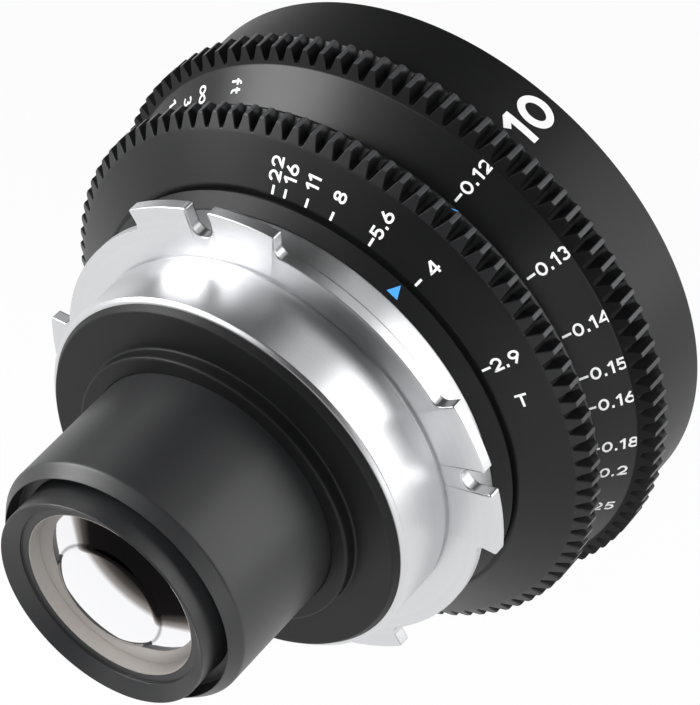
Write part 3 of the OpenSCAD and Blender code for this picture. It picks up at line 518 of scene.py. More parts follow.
def ribbon(line, width):
    """Both edges of a stroke: each point of its centre line moved half the width along the mean normal of
    its two segments, stretched by one over the cosine of half the bend, up to the most mitre."""
    step = np.diff(line, axis=0)
    step = step / np.linalg.norm(step, axis=1, keepdims=True)
    normal = np.stack([-step[:, 1], step[:, 0]], -1)
    before = np.concatenate([normal[:1], normal])
    after = np.concatenate([normal, normal[-1:]])
    if np.allclose(line[0], line[-1]):
        before[0], after[-1] = normal[-1], normal[0]
    mean = before + after
    mean = mean / np.maximum(np.linalg.norm(mean, axis=1, keepdims=True), 1e-6)
    stretch = 1 / np.maximum(np.sum(mean * before, 1, keepdims=True), 1 / MOST_MITRE)
    return line + mean * stretch * width / 2, line - mean * stretch * width / 2


def inlay(left, right, surface, lift):
    """Thin closed bar between two edge lines: its top lies the lift over a surface and its foot under it.
    Rows run along the lines, and the four columns are foot left, foot right, top right and top left; a
    quad closes each end. The surface turns (along, up, height) arrays into points."""
    foot = [surface(left, -MARK_DEPTH), surface(right, -MARK_DEPTH)]
    top = [surface(right, lift), surface(left, lift)]
    points = np.stack(foot + top, 1)
    count = len(points)
    points = points.reshape(-1, 3)
    i = np.arange(count - 1)[:, None]
    j = np.arange(4)[None, :]
    j2 = (j + 1) % 4
    quads = np.stack([i * 4 + j, i * 4 + j2, (i + 1) * 4 + j2, (i + 1) * 4 + j], -1).reshape(-1, 4)
    end = (count - 1) * 4
    caps = np.array([[3, 2, 1, 0], [end, end + 1, end + 2, end + 3]])
    shell = points, np.concatenate([quads, caps]), np.zeros((0, 3), int)
    return shell if enclosed(shell) > 0 else (shell[0], shell[1][:, ::-1], shell[2])


def on_slope(r0, y0, slope, turn, flip=1):
    """Surface of a cone with radius r0 at station y0, whose radius grows by tan(slope) along the axis. A
    drawing's first axis runs forwards along the cone and its second round it; flip -1 turns the drawing
    upside down."""
    def surface(flat, height):
        along = flat[:, 0] * flip
        r = r0 + along * math.sin(slope)
        t = turn + flip * flat[:, 1] / r
        r = r + height * math.cos(slope)
        y = y0 + along * math.cos(slope) - height * math.sin(slope)
        return np.stack([r * np.cos(t), y, r * np.sin(t)], -1)
    return surface


def signs_of(text):
    """The signs of a row: the endless loop is one sign."""
    return ["oo"] if text == "oo" else list(text)


def width_of(text):
    """Width of a row of signs for a height of one."""
    return sum(SIGNS[s][0] + SIGN_GAP for s in signs_of(text)) - SIGN_GAP


def lettered(text, height, surface, lift, start=0.0, shift=0.0, weight=WEIGHT):
    """Bars of a row of signs: each sign's strokes, scaled to the height, set one after another. The row
    is centred across, and a shift in heights moves it."""
    signs = signs_of(text)
    widths = np.array([SIGNS[s][0] + SIGN_GAP for s in signs])
    places = np.concatenate([[0], np.cumsum(widths)[:-1]])
    shells = []
    for sign, place in zip(signs, places):
        for line in SIGNS[sign][1]:
            moved = (fine_line(line) + [place, shift - 0.5]) * height + [start, 0]
            left, right = ribbon(moved, weight * height)
            shells.append(inlay(left, right, surface, lift))
    return shells


def bar(along, half, surface, lift):
    """A filled bar along the axis with the given half widths."""
    left = np.stack([along, half], -1)
    return inlay(left, left * [1, -1], surface, lift)


def tick(start, end, surface, lift, count=4):
    """A short bar along the axis."""
    return bar(np.linspace(start, end, count), np.full(count, TICK_WIDTH / 2), surface, lift)


def pointer(base, tip, width, surface, lift, count=8):
    """A filled triangle from its base to its tip along the axis."""
    along = np.linspace(base, tip, count)
    return bar(along, np.maximum((tip - along) / (tip - base) * width / 2, 0.004), surface, lift)


def marked(marks, face_at, tick_ends, height, lift, start_of, shifts=None):
    """A tick and a row of signs for each (text, angle) of a scale."""
    shells = []
    for text, turn in marks:
        face = face_at(turn)
        shells.append(tick(*tick_ends, face, lift))
        shells += lettered(text, height, face, lift, start_of(text), (shifts or {}).get(text, 0.0))
    return shells


# Finishes


class Field:
    """A shader socket that takes part in Python sums. Any other node comes from the method node."""

    def __init__(self, tree, socket):
        self.tree = tree
        self.socket = socket

    def node(self, kind, settings=None, sockets=None, out=0):
        """A new node: its settings first, with a ramp's stops as (place, colour) pairs, then its
        sockets."""
        made = self.tree.nodes.new(kind)
        for key, value in (settings or {}).items():
            if key == "stops":
                while len(made.color_ramp.elements) < len(value):
                    made.color_ramp.elements.new(1.0)
                for element, (place, shade) in zip(made.color_ramp.elements, value):
                    element.position = place
                    element.color = shade
            else:
                setattr(made, key, value)
        for key, value in (sockets or {}).items():
            if isinstance(value, Field):
                self.tree.links.new(value.socket, made.inputs[key])
            else:
                made.inputs[key].default_value = value
        return Field(self.tree, made.outputs[out])

    def sum(self, operation, a, b=0.0):
        """One operation of a Math node."""
        return self.node("ShaderNodeMath", {"operation": operation}, {0: a, 1: b})

    def __add__(self, other):
        return self.sum("ADD", self, other)

    def __radd__(self, other):
        return self.sum("ADD", other, self)

    def __sub__(self, other):
        return self.sum("SUBTRACT", self, other)

    def __rsub__(self, other):
        return self.sum("SUBTRACT", other, self)

    def __mul__(self, other):
        return self.sum("MULTIPLY", self, other)

    def __rmul__(self, other):
        return self.sum("MULTIPLY", other, self)

    def clip(self):
        """The field held between 0 and 1."""
        return self.node("ShaderNodeClamp", {}, {"Value": self})

    def mix(self, dark, pale):
        """A colour between two by this factor."""
        return self.node("ShaderNodeMix", {"data_type": "RGBA"}, {0: self, 6: dark, 7: pale}, out=2)

    def grain(self, scale, detail=2.0, vector=None):
        """Noise between 0 and 1 at a number of cells per metre."""
        sockets = {"Vector": vector or self, "Scale": scale, "Detail": detail}
        return self.node("ShaderNodeTexNoise", {}, sockets)


def new_material(name):
    """A material with a Principled shader. Returns the material, its shader and its Object coordinates."""
    material = bpy.data.materials.new(name)
    material.use_nodes = True
    tree = material.node_tree
    shader = tree.nodes["Principled BSDF"]
    place = tree.nodes.new("ShaderNodeTexCoord").outputs["Object"]
    return material, shader, Field(tree, place)


def set_shader(shader, **values):
    """Sets or links sockets of a shader; double underscores stand for spaces."""
    for key, value in values.items():
        socket = shader.inputs[key.replace("__", " ")]
        if isinstance(value, Field):
            value.tree.links.new(value.socket, socket)
        else:
            socket.default_value = value


def toned(base, gain=1.0, lift=0.0):
    """A colour made paler or darker, with full alpha."""
    return (*(min(1.0, c * gain + lift) for c in base), 1.0)


def bumped(height, strength, distance):
    """Normal of a height field, the distance in millimetres."""
    sockets = {"Height": height, "Strength": strength, "Distance": distance * MM}
    return height.node("ShaderNodeBump", {}, sockets)


def polar(place):
    """Distance from the axis and station of a place, in metres."""
    x, y, z = (place.node("ShaderNodeSeparateXYZ", {}, {0: place}, out=k) for k in range(3))
    r2 = x * x + z * z
    return r2.sum("SQRT", r2), y


def lathe_lines(place, pitch_scale):
    """Fine turned lines: noise of the radius and station alone, so that it runs round the axis."""
    r, y = polar(place)
    flat = place.node("ShaderNodeCombineXYZ", {}, {0: r, 1: y, 2: 0.0})
    return place.grain(pitch_scale, 3.0, flat)


# How steeply the painted tip highlight, the painted gap shade and the painted light on the free slope of
# a gear set in, per metre; how near a tip is, where the free slope starts over its foot, and how pale its
# painted light is
TIP_RISE, GAP_RISE, SLOPE_RISE = 25000.0, 8000.0, 12000.0
TIP_NEAR, SLOPE_FREE, SLOPE_HIGHLIGHT_SHARE = 0.06, 0.25, 0.15
# Painted shade for the tooth gaps and a painted highlight for the tips
GAP_PAINTED_SHADE, TIP_PAINTED_HIGHLIGHT = (0.0010, 0.0010, 0.0011, 1.0), (0.046, 0.047, 0.051, 1.0)


def painted_tooth_light(place, slope, lead, end):
    """Shares of a gear's painted tip highlight and painted gap shade: tips lie near the tip radius, gaps
    under them, a lead ahead of the rear slope and behind the end station. Where gaps leave the slope free,
    it gets a little painted light."""
    r, y = polar(place)
    (r0, y0), (r1, y1) = slope
    tip = ((r - (r1 - TIP_NEAR) * MM) * TIP_RISE).clip()
    past = y - (y0 + lead) * MM - (r - r0 * MM) * ((y1 - y0) / (r1 - r0))
    behind = ((end * MM - y) * GAP_RISE).clip()
    gap_shade_mask = (past * GAP_RISE).clip() * behind * ((r - r0 * MM) * SLOPE_RISE).clip() * (1 - tip)
    slope_painted_light = ((r - (r0 + SLOPE_FREE) * MM) * SLOPE_RISE).clip() * (1 - gap_shade_mask) * behind
    return tip.sum("MAXIMUM", tip, slope_painted_light * SLOPE_HIGHLIGHT_SHARE), gap_shade_mask


def anodised(name, base, rough, gloss, turned=0.35, teeth=None):
    """Satin black anodising over fine-turned, bead-blasted metal: small tone and gloss changes and a fine
    grain. Gear teeth get a painted highlight on their tips and painted shade in their gaps, which are also
    duller."""
    material, shader, place = new_material(name)
    blast = place.grain(5200.0, 2.0)
    cloud = place.grain(120.0, 3.0)
    lines = lathe_lines(place, 3400.0)
    tone = (cloud * 0.6 + blast * 0.4).clip()
    shade = tone.mix(toned(base, 0.72), toned(base, 1.4, 0.0006))
    dull = rough - 0.05 + 0.07 * cloud + 0.04 * blast
    if teeth:
        # Painted light on gear teeth: a highlight on the tips and on the free slope, shade in the gaps
        tip, gap_shade_mask = painted_tooth_light(place, *teeth)
        shade = tip.mix(gap_shade_mask.mix(shade, GAP_PAINTED_SHADE), TIP_PAINTED_HIGHLIGHT)
        dull = dull + 0.35 * gap_shade_mask
    set_shader(shader, Base__Color=shade, Roughness=dull.clip(), Metallic=0.0, Specular__IOR__Level=gloss,
               Normal=bumped(blast * (1 - turned) + lines * turned, 0.35, 0.012))
    return material


def bright_plate(name, base):
    """Satin plated metal with turned lines round the axis and a faint cloudiness."""
    material, shader, place = new_material(name)
    rough = 0.33
    lines = lathe_lines(place, 5200.0)
    broad = lathe_lines(place, 900.0)
    cloud = place.grain(160.0, 3.0)
    tone = (lines * 0.45 + broad * 0.3 + cloud * 0.25).clip()
    set_shader(shader, Base__Color=tone.mix(toned(base, 0.86), toned(base, 1.08)),
               Roughness=(rough + 0.06 * (lines - 0.5) + 0.06 * (cloud - 0.5)).clip(),
               Normal=bumped(lines * 0.8 + broad * 0.2, 0.10, 0.006), Metallic=1.0)
    return material


def bare_metal(name, base, rough):
    """Turned bare metal for the inner pieces."""
    material, shader, place = new_material(name)
    lines = lathe_lines(place, 3000.0)
    cloud = place.grain(300.0, 3.0)
    tone = (lines * 0.5 + cloud * 0.5).clip()
    set_shader(shader, Base__Color=tone.mix(toned(base, 0.7), toned(base, 1.25)),
               Roughness=(rough + 0.16 * (cloud - 0.5)).clip(), Normal=bumped(lines, 0.3, 0.012),
               Metallic=1.0)
    return material


def filled_mark(name, base):
    """Paint in engraved marks: a slight mottling and a soft gloss."""
    material, shader, place = new_material(name)
    spots = place.grain(6000.0, 2.0)
    set_shader(shader, Base__Color=spots.mix(toned(base, 0.93), toned(base)),
               Roughness=(0.5 + 0.1 * spots).clip(), Normal=bumped(spots, 0.2, 0.01))
    return material


def coated_glass(name, base, coat):
    """Clear glass with a faint coating colour that grows to the rim, and a trace of dust in its gloss."""
    material, shader, place = new_material(name)
    dust = place.grain(2600.0, 4.0)
    facing = place.node("ShaderNodeLayerWeight", {}, {"Blend": 0.35}, out=1)
    set_shader(shader, Base__Color=facing.mix(toned(base), toned(coat)), Roughness=(0.015 * dust).clip(),
               Transmission__Weight=1.0, IOR=1.52)
    return material


def painted_reflection_lens(name):
    """A lens drawn as a mirror that its Layer Weight paints: black seen straight on, as painted shade for a
    dark inside, then a sharp step through brown to white at flat angles, which paints the edge of the white
    reflection; the white mirror shows the real surroundings. A dim ring of painted shade lies in the trough
    where the dome meets its rim."""
    material, shader, place = new_material(name)
    dust = place.grain(2600.0, 4.0)
    facing = place.node("ShaderNodeLayerWeight", {}, {"Blend": 0.5}, out=1)
    # Painted shade seen straight on, and a painted edge where the mirror's reflection turns white
    stops = [(0.0, (0.006, 0.006, 0.007)), (0.30, (0.007, 0.006, 0.006)), (0.335, (0.07, 0.062, 0.056)),
             (0.37, (0.33, 0.305, 0.29)), (0.395, (0.93, 0.93, 0.95)), (1.0, (0.97, 0.97, 0.98))]
    ramp = place.node("ShaderNodeValToRGB", {"stops": [(k, toned(c)) for k, c in stops]}, {"Fac": facing})
    # A painted ring of shade in the trough at the dome's foot
    crease_shade_r, crease_shade_rise, crease_shade_share, painted_crease_shade = 7.65 * MM, 3200.0, 0.62, (0.006, 0.005, 0.005, 1.0)
    off = polar(place)[0] - crease_shade_r
    ring = (1.0 - off.sum("ABSOLUTE", off) * crease_shade_rise).clip() * crease_shade_share
    set_shader(shader, Base__Color=ring.mix(ramp, painted_crease_shade), Roughness=(0.03 + 0.03 * dust).clip(),
               Metallic=1.0)
    return material


def ground_glass(name, base):
    """Ground edge of a lens: matt, with a fine grain."""
    material, shader, place = new_material(name)
    grit = place.grain(7000.0, 3.0)
    set_shader(shader, Base__Color=grit.mix(toned(base, 0.8), toned(base)),
               Roughness=(0.45 + 0.2 * grit).clip(), Normal=bumped(grit, 0.3, 0.01))
    return material


FINISHES = {}


def finish(key):
    """A finish by its name, made once."""
    if key not in FINISHES:
        c = bpy.context.scene.lens_looks.finish
        s = Sizes(bpy.context.scene.lens_looks.rings)
        # Where each gear's painted tip highlight and painted gap shade lie: its slope, the gaps' lead and
        # their end
        iris_teeth = iris_slope(s), 0.15, s.iris_front - RUN_OUT
        focus_teeth = focus_slope(s), -0.3, s.focus_front - RUN_OUT
        makers = {
            "anodised": lambda: anodised("black_anodising", c.anodised, 0.44, 0.32),
            # Paler black, partly painted light on the rear barrel and its cell
            "rear": lambda: anodised("rear_anodising", c.rear_black_painted_light, 0.42, 0.62),
            "cover": lambda: anodised("cover_anodising", c.anodised, 0.48, 0.26),
            "ring": lambda: anodised("ring_anodising", c.ring_black, 0.36, 0.30, teeth=iris_teeth),
            "scale": lambda: anodised("scale_anodising", c.ring_black, 0.34, 0.32, teeth=focus_teeth),
            "inner": lambda: anodised("inner_blacking", toned(c.anodised, 0.5)[:3], 0.62, 0.3),
            "bright": lambda: bright_plate("bright_plating", c.bright),
            "white": lambda: filled_mark("white_filling", c.white),
            "blue": lambda: filled_mark("blue_filling", c.blue),
            "brass": lambda: bare_metal("turned_brass", c.brass, 0.3),
            "steel": lambda: bare_metal("dark_steel", c.steel, 0.38),
            "blade": lambda: anodised("blade_blacking", c.blade, 0.55, 0.4, turned=0.0),
            # Mirror lens with painted shade and a painted reflection edge
            "lens": lambda: painted_reflection_lens("deep_coated_glass"),
            "ground": lambda: ground_glass("ground_edge", c.ground),
            "glass": lambda: coated_glass("coated_glass", c.glass, (0.80, 0.88, 1.0)),
        }
        FINISHES[key] = makers[key]()
    return FINISHES[key]


# Pieces


class LensPiece:
    """What every piece's operator shares."""
    bl_options = {"REGISTER", "UNDO"}

    def execute(self, context):
        self.make(context.scene.lens_looks)
        return {"FINISHED"}


class LENS_OT_bright_mount(LensPiece, bpy.types.Operator):
    """Bright mount: tube, flange with four notched tabs, neck and screw web"""
    bl_idname = "lens.bright_mount"
    bl_label = "Bright mount"

    def make(self, looks):
        m = Sizes(looks.mount)
        web_back, join, web_front, end = -1.0, 0.8, 2.5, -m.tube_length
        chamfer, groove, groove_back, groove_front = 0.45, 0.35, -0.55, -0.3
        inner_r, flange_bore_r = m.neck_r - m.neck_wall, m.tube_r - 1.0
        flange = flat_plate(*flange_columns(m), flange_bore_r, back=0.0, ahead=m.flange_thickness,
                            back_edge=0.18, ahead_edge=0.16)
        tube = turned_ring([(m.web_r, web_back), (m.tube_bore_r, web_back), (m.tube_bore_r, end),
                            (m.tube_r - chamfer, end), (m.tube_r, end + chamfer), (m.tube_r, groove_back),
                            (m.tube_r - groove, groove_front), (m.tube_r - groove, join), (m.web_r, join)],
                           {3: 0.12, 4: 0.12, 5: 0.08, 6: 0.05})
        neck = turned_ring([(m.web_r, join), (m.neck_r, join), (m.neck_r, m.neck_front),
                            (inner_r, m.neck_front), (inner_r, web_front), (m.web_r, web_front)], {2: 0.15})
        piece("mount_bright", joined(flange, tube, neck), "bright", "pl_mount", sharp=40)


def flange_columns(m):
    """Outline of the flange as angle and radius arrays: for each of four tabs the tab's end with its foot
    fillet, the tab's rim, a notch with parallel sides and a round floor, and the same mirrored, with
    plain rim between tabs. The tab's corners are eased by an angle and a drop."""
    half = m.tab_angle / 2
    w = m.notch_width / 2
    end_ease, end_drop, lip_ease, lip_drop = 0.009, 0.30, 0.008, 0.25
    corner = np.array([0.0, 0.3, 0.7, 1.0])
    fillet = m.tab_fillet / m.flange_r
    rim = np.linspace(-np.pi / 4, -half - fillet * 1.05, 14)
    foot = np.linspace(0, 1, 7)[1:] * np.pi / 2
    foot_turn = rim[-1] + fillet * np.sin(foot)
    foot_r = m.flange_r + m.tab_fillet * (1 - np.cos(foot))
    end_turn = -half + end_ease * corner ** 2
    end_r = m.tab_r - end_drop * (1 - corner) ** 2
    lip = -math.asin(w / m.tab_r)
    top = np.linspace(-half + 0.02, lip - lip_ease, 14)
    lip_turn = lip - lip_ease * (1 - corner) ** 2
    lip_r = m.tab_r - lip_drop * corner ** 2
    centre = m.notch_floor_r + w
    side = np.linspace(m.tab_r - 2 * lip_drop, centre, 4)
    a = np.linspace(0, np.pi / 2, 8)[1:]
    x = centre - w * np.sin(a)
    z = -w * np.cos(a)
    turn = np.concatenate([rim, foot_turn, end_turn, top, lip_turn, -np.arcsin(w / side), np.arctan2(z, x)])
    r = np.concatenate([np.full_like(rim, m.flange_r), foot_r, end_r, np.full_like(top, m.tab_r), lip_r,
                        side, np.hypot(x, z)])
    turn = np.concatenate([turn, -turn[-2:0:-1]])
    r = np.concatenate([r, r[-2:0:-1]])
    four = (np.arange(4)[:, None] * np.pi / 2 + m.tab_phase + turn[None, :]).ravel()
    return four, np.tile(r, 4)


def unfolded(edge, turn, parts=4):
    """Angles on the inner circle for an outline of mirrored parts: towards the middle of each part the
    least of the angles still to come, and the greatest so far after it, so that no two faces of the plate
    overlap."""
    edge = edge.reshape(parts, -1)
    middle = edge.shape[1] // 2
    centre = turn.reshape(parts, -1)[:, middle:middle + 1]
    off = (edge - centre + np.pi) % (2 * np.pi) - np.pi
    before = np.minimum.accumulate(off[:, middle::-1], axis=1)[:, ::-1]
    after = np.maximum.accumulate(off[:, middle:], axis=1)[:, 1:]
    return (centre + np.concatenate([before, after], 1)).reshape(1, -1)


# How far a corner of a plate's outline may stretch when it moves inwards
MOST_STRETCH = 1.5


def flat_plate(turn, r, inner_r, back, ahead, back_edge, ahead_edge):
    """Plate between two stations from an inner circle to an outline. The outline moves inwards along its
    own normals by b (1 - sin a) while its station moves by b (1 - cos a), which rounds both edges, and a
    row beyond them keeps the rim flat in shading. The flat faces fan out from the inner circle to the
    rounded edges."""
    x, z = r * np.cos(turn), r * np.sin(turn)
    dx, dz = np.roll(x, -1) - x, np.roll(z, -1) - z
    far = np.maximum(np.hypot(dx, dz), TINY)
    nx, nz = dz / far, -dx / far
    mx, mz = nx + np.roll(nx, 1), nz + np.roll(nz, 1)
    far = np.maximum(np.hypot(mx, mz), TINY)
    stretch = np.minimum(2 / far, MOST_STRETCH)
    mx, mz = mx / far * stretch, mz / far * stretch
    a = np.linspace(0, np.pi / 2, 4)
    inset = np.concatenate([back_edge * (1 - np.sin(a)), [0.0, 0.0], ahead_edge * (1 - np.sin(a[::-1]))])
    station = np.concatenate([back + back_edge * (1 - np.cos(a)), [back + FLAT * back_edge],
                              [ahead - FLAT * ahead_edge], ahead - ahead_edge * (1 - np.cos(a[::-1]))])
    px = x[None, :] - inset[:, None] * mx[None, :]
    pz = z[None, :] - inset[:, None] * mz[None, :]
    rings = np.concatenate([np.full((1, len(r)), inner_r), np.hypot(px, pz), np.full((1, len(r)), inner_r)])
    edge = np.arctan2(pz, px)
    turns = np.concatenate([unfolded(edge[:1], turn), edge, unfolded(edge[-1:], turn)])
    stations = np.concatenate([[back], station, [ahead]])
    return turned_grid(rings, turns, stations[:, None])


class LENS_OT_rear_cover(LensPiece, bpy.types.Operator):
    """Black disc with a collar that closes the mount tube"""
    bl_idname = "lens.rear_cover"
    bl_label = "Rear cover"

    def make(self, looks):
        s = Sizes(looks.rear)
        m = Sizes(looks.mount)
        bore, plug = s.barrel_r + ROOM, m.tube_bore_r - ROOM
        plug_front, hollow, disc_front = -6.7, m.tube_bore_r - 2.0, -8.8
        face, seat, bevel = -s.cover_reach, -m.tube_length + END_ROOM, 0.6
        shell = turned_ring([(bore, -s.collar_reach), (s.collar_r, -s.collar_reach), (s.collar_r, face),
                             (s.cover_r - bevel, face), (s.cover_r, seat), (plug, seat), (plug, plug_front),
                             (hollow, plug_front), (hollow, disc_front), (bore, disc_front)],
                            {1: 0.35, 2: 0.3, 3: 0.2, 5: 0.05})
        piece("cover_disc", shell, "cover", "rear_cover")


class LENS_OT_rear_barrel(LensPiece, bpy.types.Operator):
    """Rear barrel with its chamfered end and the sloped cell that stands out of it"""
    bl_idname = "lens.rear_barrel"
    bl_label = "Rear barrel and cell"

    def make(self, looks):
        s = Sizes(looks.rear)
        groove, groove_floor, bore = s.cell_r + 1.5, -29.35, s.cell_r + ROOM
        step_r, step, front, end = 12.0, 4.0, 6.0, -s.barrel_reach
        barrel = turned_ring([(groove, end), (s.barrel_r - s.chamfer, end),
                              (s.barrel_r, end + s.chamfer_length), (s.barrel_r, front), (step_r, front),
                              (step_r, step), (bore, step), (bore, groove_floor), (groove, groove_floor)],
                             {0: 0.15, 1: 0.2, 2: 0.25})
        piece("barrel_rear", barrel, "rear", "rear_barrel")
        lip, glass_bore, cell_front, seat, back = 0.15, 13.0 + ROOM, -21.9, -32.4, -s.cell_reach
        face, step = back + s.slope_depth, back + s.slope_depth + 0.3
        cell = turned_ring([(s.cell_r - lip, back), (s.cell_r, back + lip), (s.cell_r, cell_front),
                            (glass_bore, cell_front), (glass_bore, seat), (s.window_r, seat),
                            (s.window_r, step), (s.slope_r, step), (s.slope_r, face)],
                           {1: 0.08, 5: 0.06, 6: 0.06, 7: 0.06, 8: 0.08})
        piece("cell_rear", cell, "rear", "rear_cell")


class LENS_OT_rear_glass(LensPiece, bpy.types.Operator):
    """Rearmost lens: a shallow dome in a sloped rim, deep in its ground edge"""
    bl_idname = "lens.rear_glass"
    bl_label = "Rear glass"

    def make(self, looks):
        s = Sizes(looks.rear)
        foot, front, mouth = -s.dome_reach, -28.9, -33.05
        rim, rim_r, glass_r, ease = foot + 2.05, 12.0, 13.0, SMALL_EDGE
        ball_r, ground_mouth_r, ground_r = 30.0, 12.16, 11.98
        dome = cap_curve(ball_r, s.dome_r, foot, -1)[::-1]
        trough = np.array([(0.12, 0.1), (0.7, 0.33), (0.82, 0.39)]) + [s.dome_r, foot]
        edge = [(rim_r - ease, rim - ease / 2), (rim_r, rim), (glass_r - ease, rim), (glass_r, rim + ease),
                (glass_r, front - ease), (glass_r - ease, front), (rim_r, front), (rim_r / 2, front),
                (0.0, front)]
        shell = turned_disc(np.concatenate([dome, trough, edge]))
        # The rear lens carries painted shade and a painted reflection edge
        piece("lens_rear", shell, "lens", "rear_glass", sharp=35)
        outer = s.window_r - 0.05
        ground = turned_ring([(ground_mouth_r, mouth), (outer, mouth), (outer, rim), (ground_r, rim)],
                             plain=0.03)
        piece("rim_rear", ground, "ground")


class LENS_OT_index_rings(LensPiece, bpy.types.Operator):
    """The two fixed index rings"""
    bl_idname = "lens.index_rings"
    bl_label = "Index rings"

    def make(self, looks):
        s = Sizes(looks.rings)
        m = Sizes(looks.mount)
        bore = m.neck_r - m.neck_wall
        cone = turned_ring([(bore, m.neck_front), (m.neck_r, m.neck_front), (s.index_r, s.index_front),
                            (bore, s.index_front)], {2: 0.12})
        piece("index_iris", cone, "cover", "iris_index_ring")
        back, ahead = s.focus_index_rear, s.focus_index_front
        thin = turned_ring([(s.iris_bore_r, back), (s.focus_index_r, back), (s.focus_index_r, ahead),
                            (s.iris_bore_r, ahead)])
        piece("index_focus", thin, "anodised", "focus_index_ring")


# A geared ring's first corner stands this far behind its front, and its front face starts this far
# from its bore
CLOSE, RING_WALL = 1e-6, 2.0


class LENS_OT_iris_ring(LensPiece, bpy.types.Operator):
    """Turning iris ring: sloped scale that runs into the gear teeth"""
    bl_idname = "lens.iris_ring"
    bl_label = "Iris ring"

    def make(self, looks):
        s = Sizes(looks.rings)
        lip_r = s.iris_rear_r - 1.0
        behind = [(s.iris_bore_r, s.iris_front - CLOSE), (s.iris_bore_r, s.iris_lip), (lip_r, s.iris_lip),
                  (lip_r, s.iris_rear), (s.iris_rear_r, s.iris_rear)]
        shell = geared_ring(behind, iris_slope(s), s.iris_front, s.iris_bore_r + RING_WALL, s.iris_teeth,
                            s.gear_module, s.tooth_edge)
        piece("ring_iris", shell, "ring", "iris_ring", "iris_drive", sharp=50)


class LENS_OT_focus_ring(LensPiece, bpy.types.Operator):
    """Turning focus ring: distance scale and gear teeth"""
    bl_idname = "lens.focus_ring"
    bl_label = "Focus ring"

    def make(self, looks):
        s = Sizes(looks.rings)
        behind = [(s.focus_bore_r, s.focus_front - CLOSE), (s.focus_bore_r, s.focus_rear),
                  (s.scale_rear_r, s.focus_rear), (s.scale_rear_r, s.scale_rear)]
        shell = geared_ring(behind, focus_slope(s), s.focus_front, s.focus_bore_r + RING_WALL, s.focus_teeth,
                            s.gear_module, s.tooth_edge)
        piece("ring_focus", shell, "scale", "focus_ring", "focus_drive", sharp=50)


class LENS_OT_front_barrel(LensPiece, bpy.types.Operator):
    """Plain front barrel with its filter thread, and the flared ring round the front glass"""
    bl_idname = "lens.front_barrel"
    bl_label = "Front barrel"

    def make(self, looks):
        s = Sizes(looks.front)
        chamfer, lead, depth, trim_back, trim_lip = 0.3, 0.5, 0.42, 32.05, 32.43
        seat, pocket = trim_back - END_ROOM, s.trim_r + ROOM
        ridges = 2 * int((s.rim - lead - s.thread_rear) / s.thread_pitch) + 1
        y = s.rim - lead - np.arange(ridges) * s.thread_pitch / 2
        r = s.thread_r + np.where(np.arange(ridges) % 2, depth, 0.0)
        outside = [(s.bore_r, s.rear), (s.barrel_r - chamfer, s.rear), (s.barrel_r, s.rear + chamfer),
                   (s.barrel_r, s.rim - chamfer), (s.barrel_r - chamfer, s.rim),
                   (s.thread_r + chamfer, s.rim)]
        inside = [(s.thread_r, s.thread_rear), (pocket, s.thread_rear), (pocket, seat), (s.bore_r, seat)]
        shell = turned_ring(np.concatenate([outside, np.stack([r, y], -1), inside]))
        piece("barrel_front", shell, "anodised", "front_barrel")
        trim = turned_ring([(s.opening_r, trim_back), (s.trim_r, trim_back), (s.trim_r, s.thread_rear),
                            (s.opening_r + s.flare, s.thread_rear), (s.opening_r, trim_lip)],
                           {2: 0.15, 3: 0.25})
        piece("ring_trim", trim, "anodised", "front_trim_ring")


class LENS_OT_front_glass(LensPiece, bpy.types.Operator):
    """Large front lens and the ring that holds it"""
    bl_idname = "lens.front_glass"
    bl_label = "Front glass"

    def make(self, looks):
        low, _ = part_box("front_glass")
        seat = low[1] / MM
        rim, ease, wall = seat + 4.4, SMALL_EDGE, 6.0
        hollow_ball_r, front_ball_r = 34.0, 75.0
        r = Sizes(looks.front).glass_r
        hollow = cap_curve(hollow_ball_r, r - wall, seat, 1)[::-1]
        edge = [(r - wall + ease, seat), (r - 2 * ease, seat), (r, seat + 2 * ease), (r, rim - ease),
                (r - ease, rim)]
        front = cap_curve(front_ball_r, r - 1.1, rim, 1)
        shell = turned_disc(np.concatenate([hollow, edge, front]))
        piece("lens_front", shell, "glass", "front_glass", sharp=40)
        low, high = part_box("front_glass_ring")
        back, ahead, hold, reach = low[1] / MM, high[1] / MM, r - 1.0, r + 3.0
        ring = turned_ring([(hold, back), (reach, back), (reach, ahead), (r - ease, ahead),
                            (hold, ahead - 0.7)], {2: 0.2, 3: 0.2})
        piece("ring_glass", ring, "anodised", "front_glass_ring")


# Each mark's text and its angle in degrees
IRIS_MARKS = (("2.9", 35.9), ("4", 59.7), ("5.6", 72.9), ("8", 83.2), ("11", 89.7), ("16", 95.3),
              ("22", 98.5))
METRE_MARKS = (("0.12", 65.7), ("0.13", 44.8), ("0.14", 30.6), ("0.15", 20.4), ("0.16", 12.8),
               ("0.18", 1.8), ("0.2", -5.6), (".25", -16.8), (".3", -22.5), (".5", -32.4), ("1", -38.4),
               ("oo", -43.3))
FOOT_MARKS = (("oo", 131.8), ("3", 136.9), ("1.5", 142.8), ("1", 151.5), (".8", 159.0), (".7", 165.8),
              (".6", 175.7), (".5", 193.6), (".4", 236.1))
# The last two iris numerals stand apart, by a share of their height
IRIS_APART = {"16": -0.12, "22": 0.06}
# Angles of the letters beside the scales
STOP_LETTER, METRE_LETTER, FOOT_LETTERS = 26.4, -54.0, 121.6


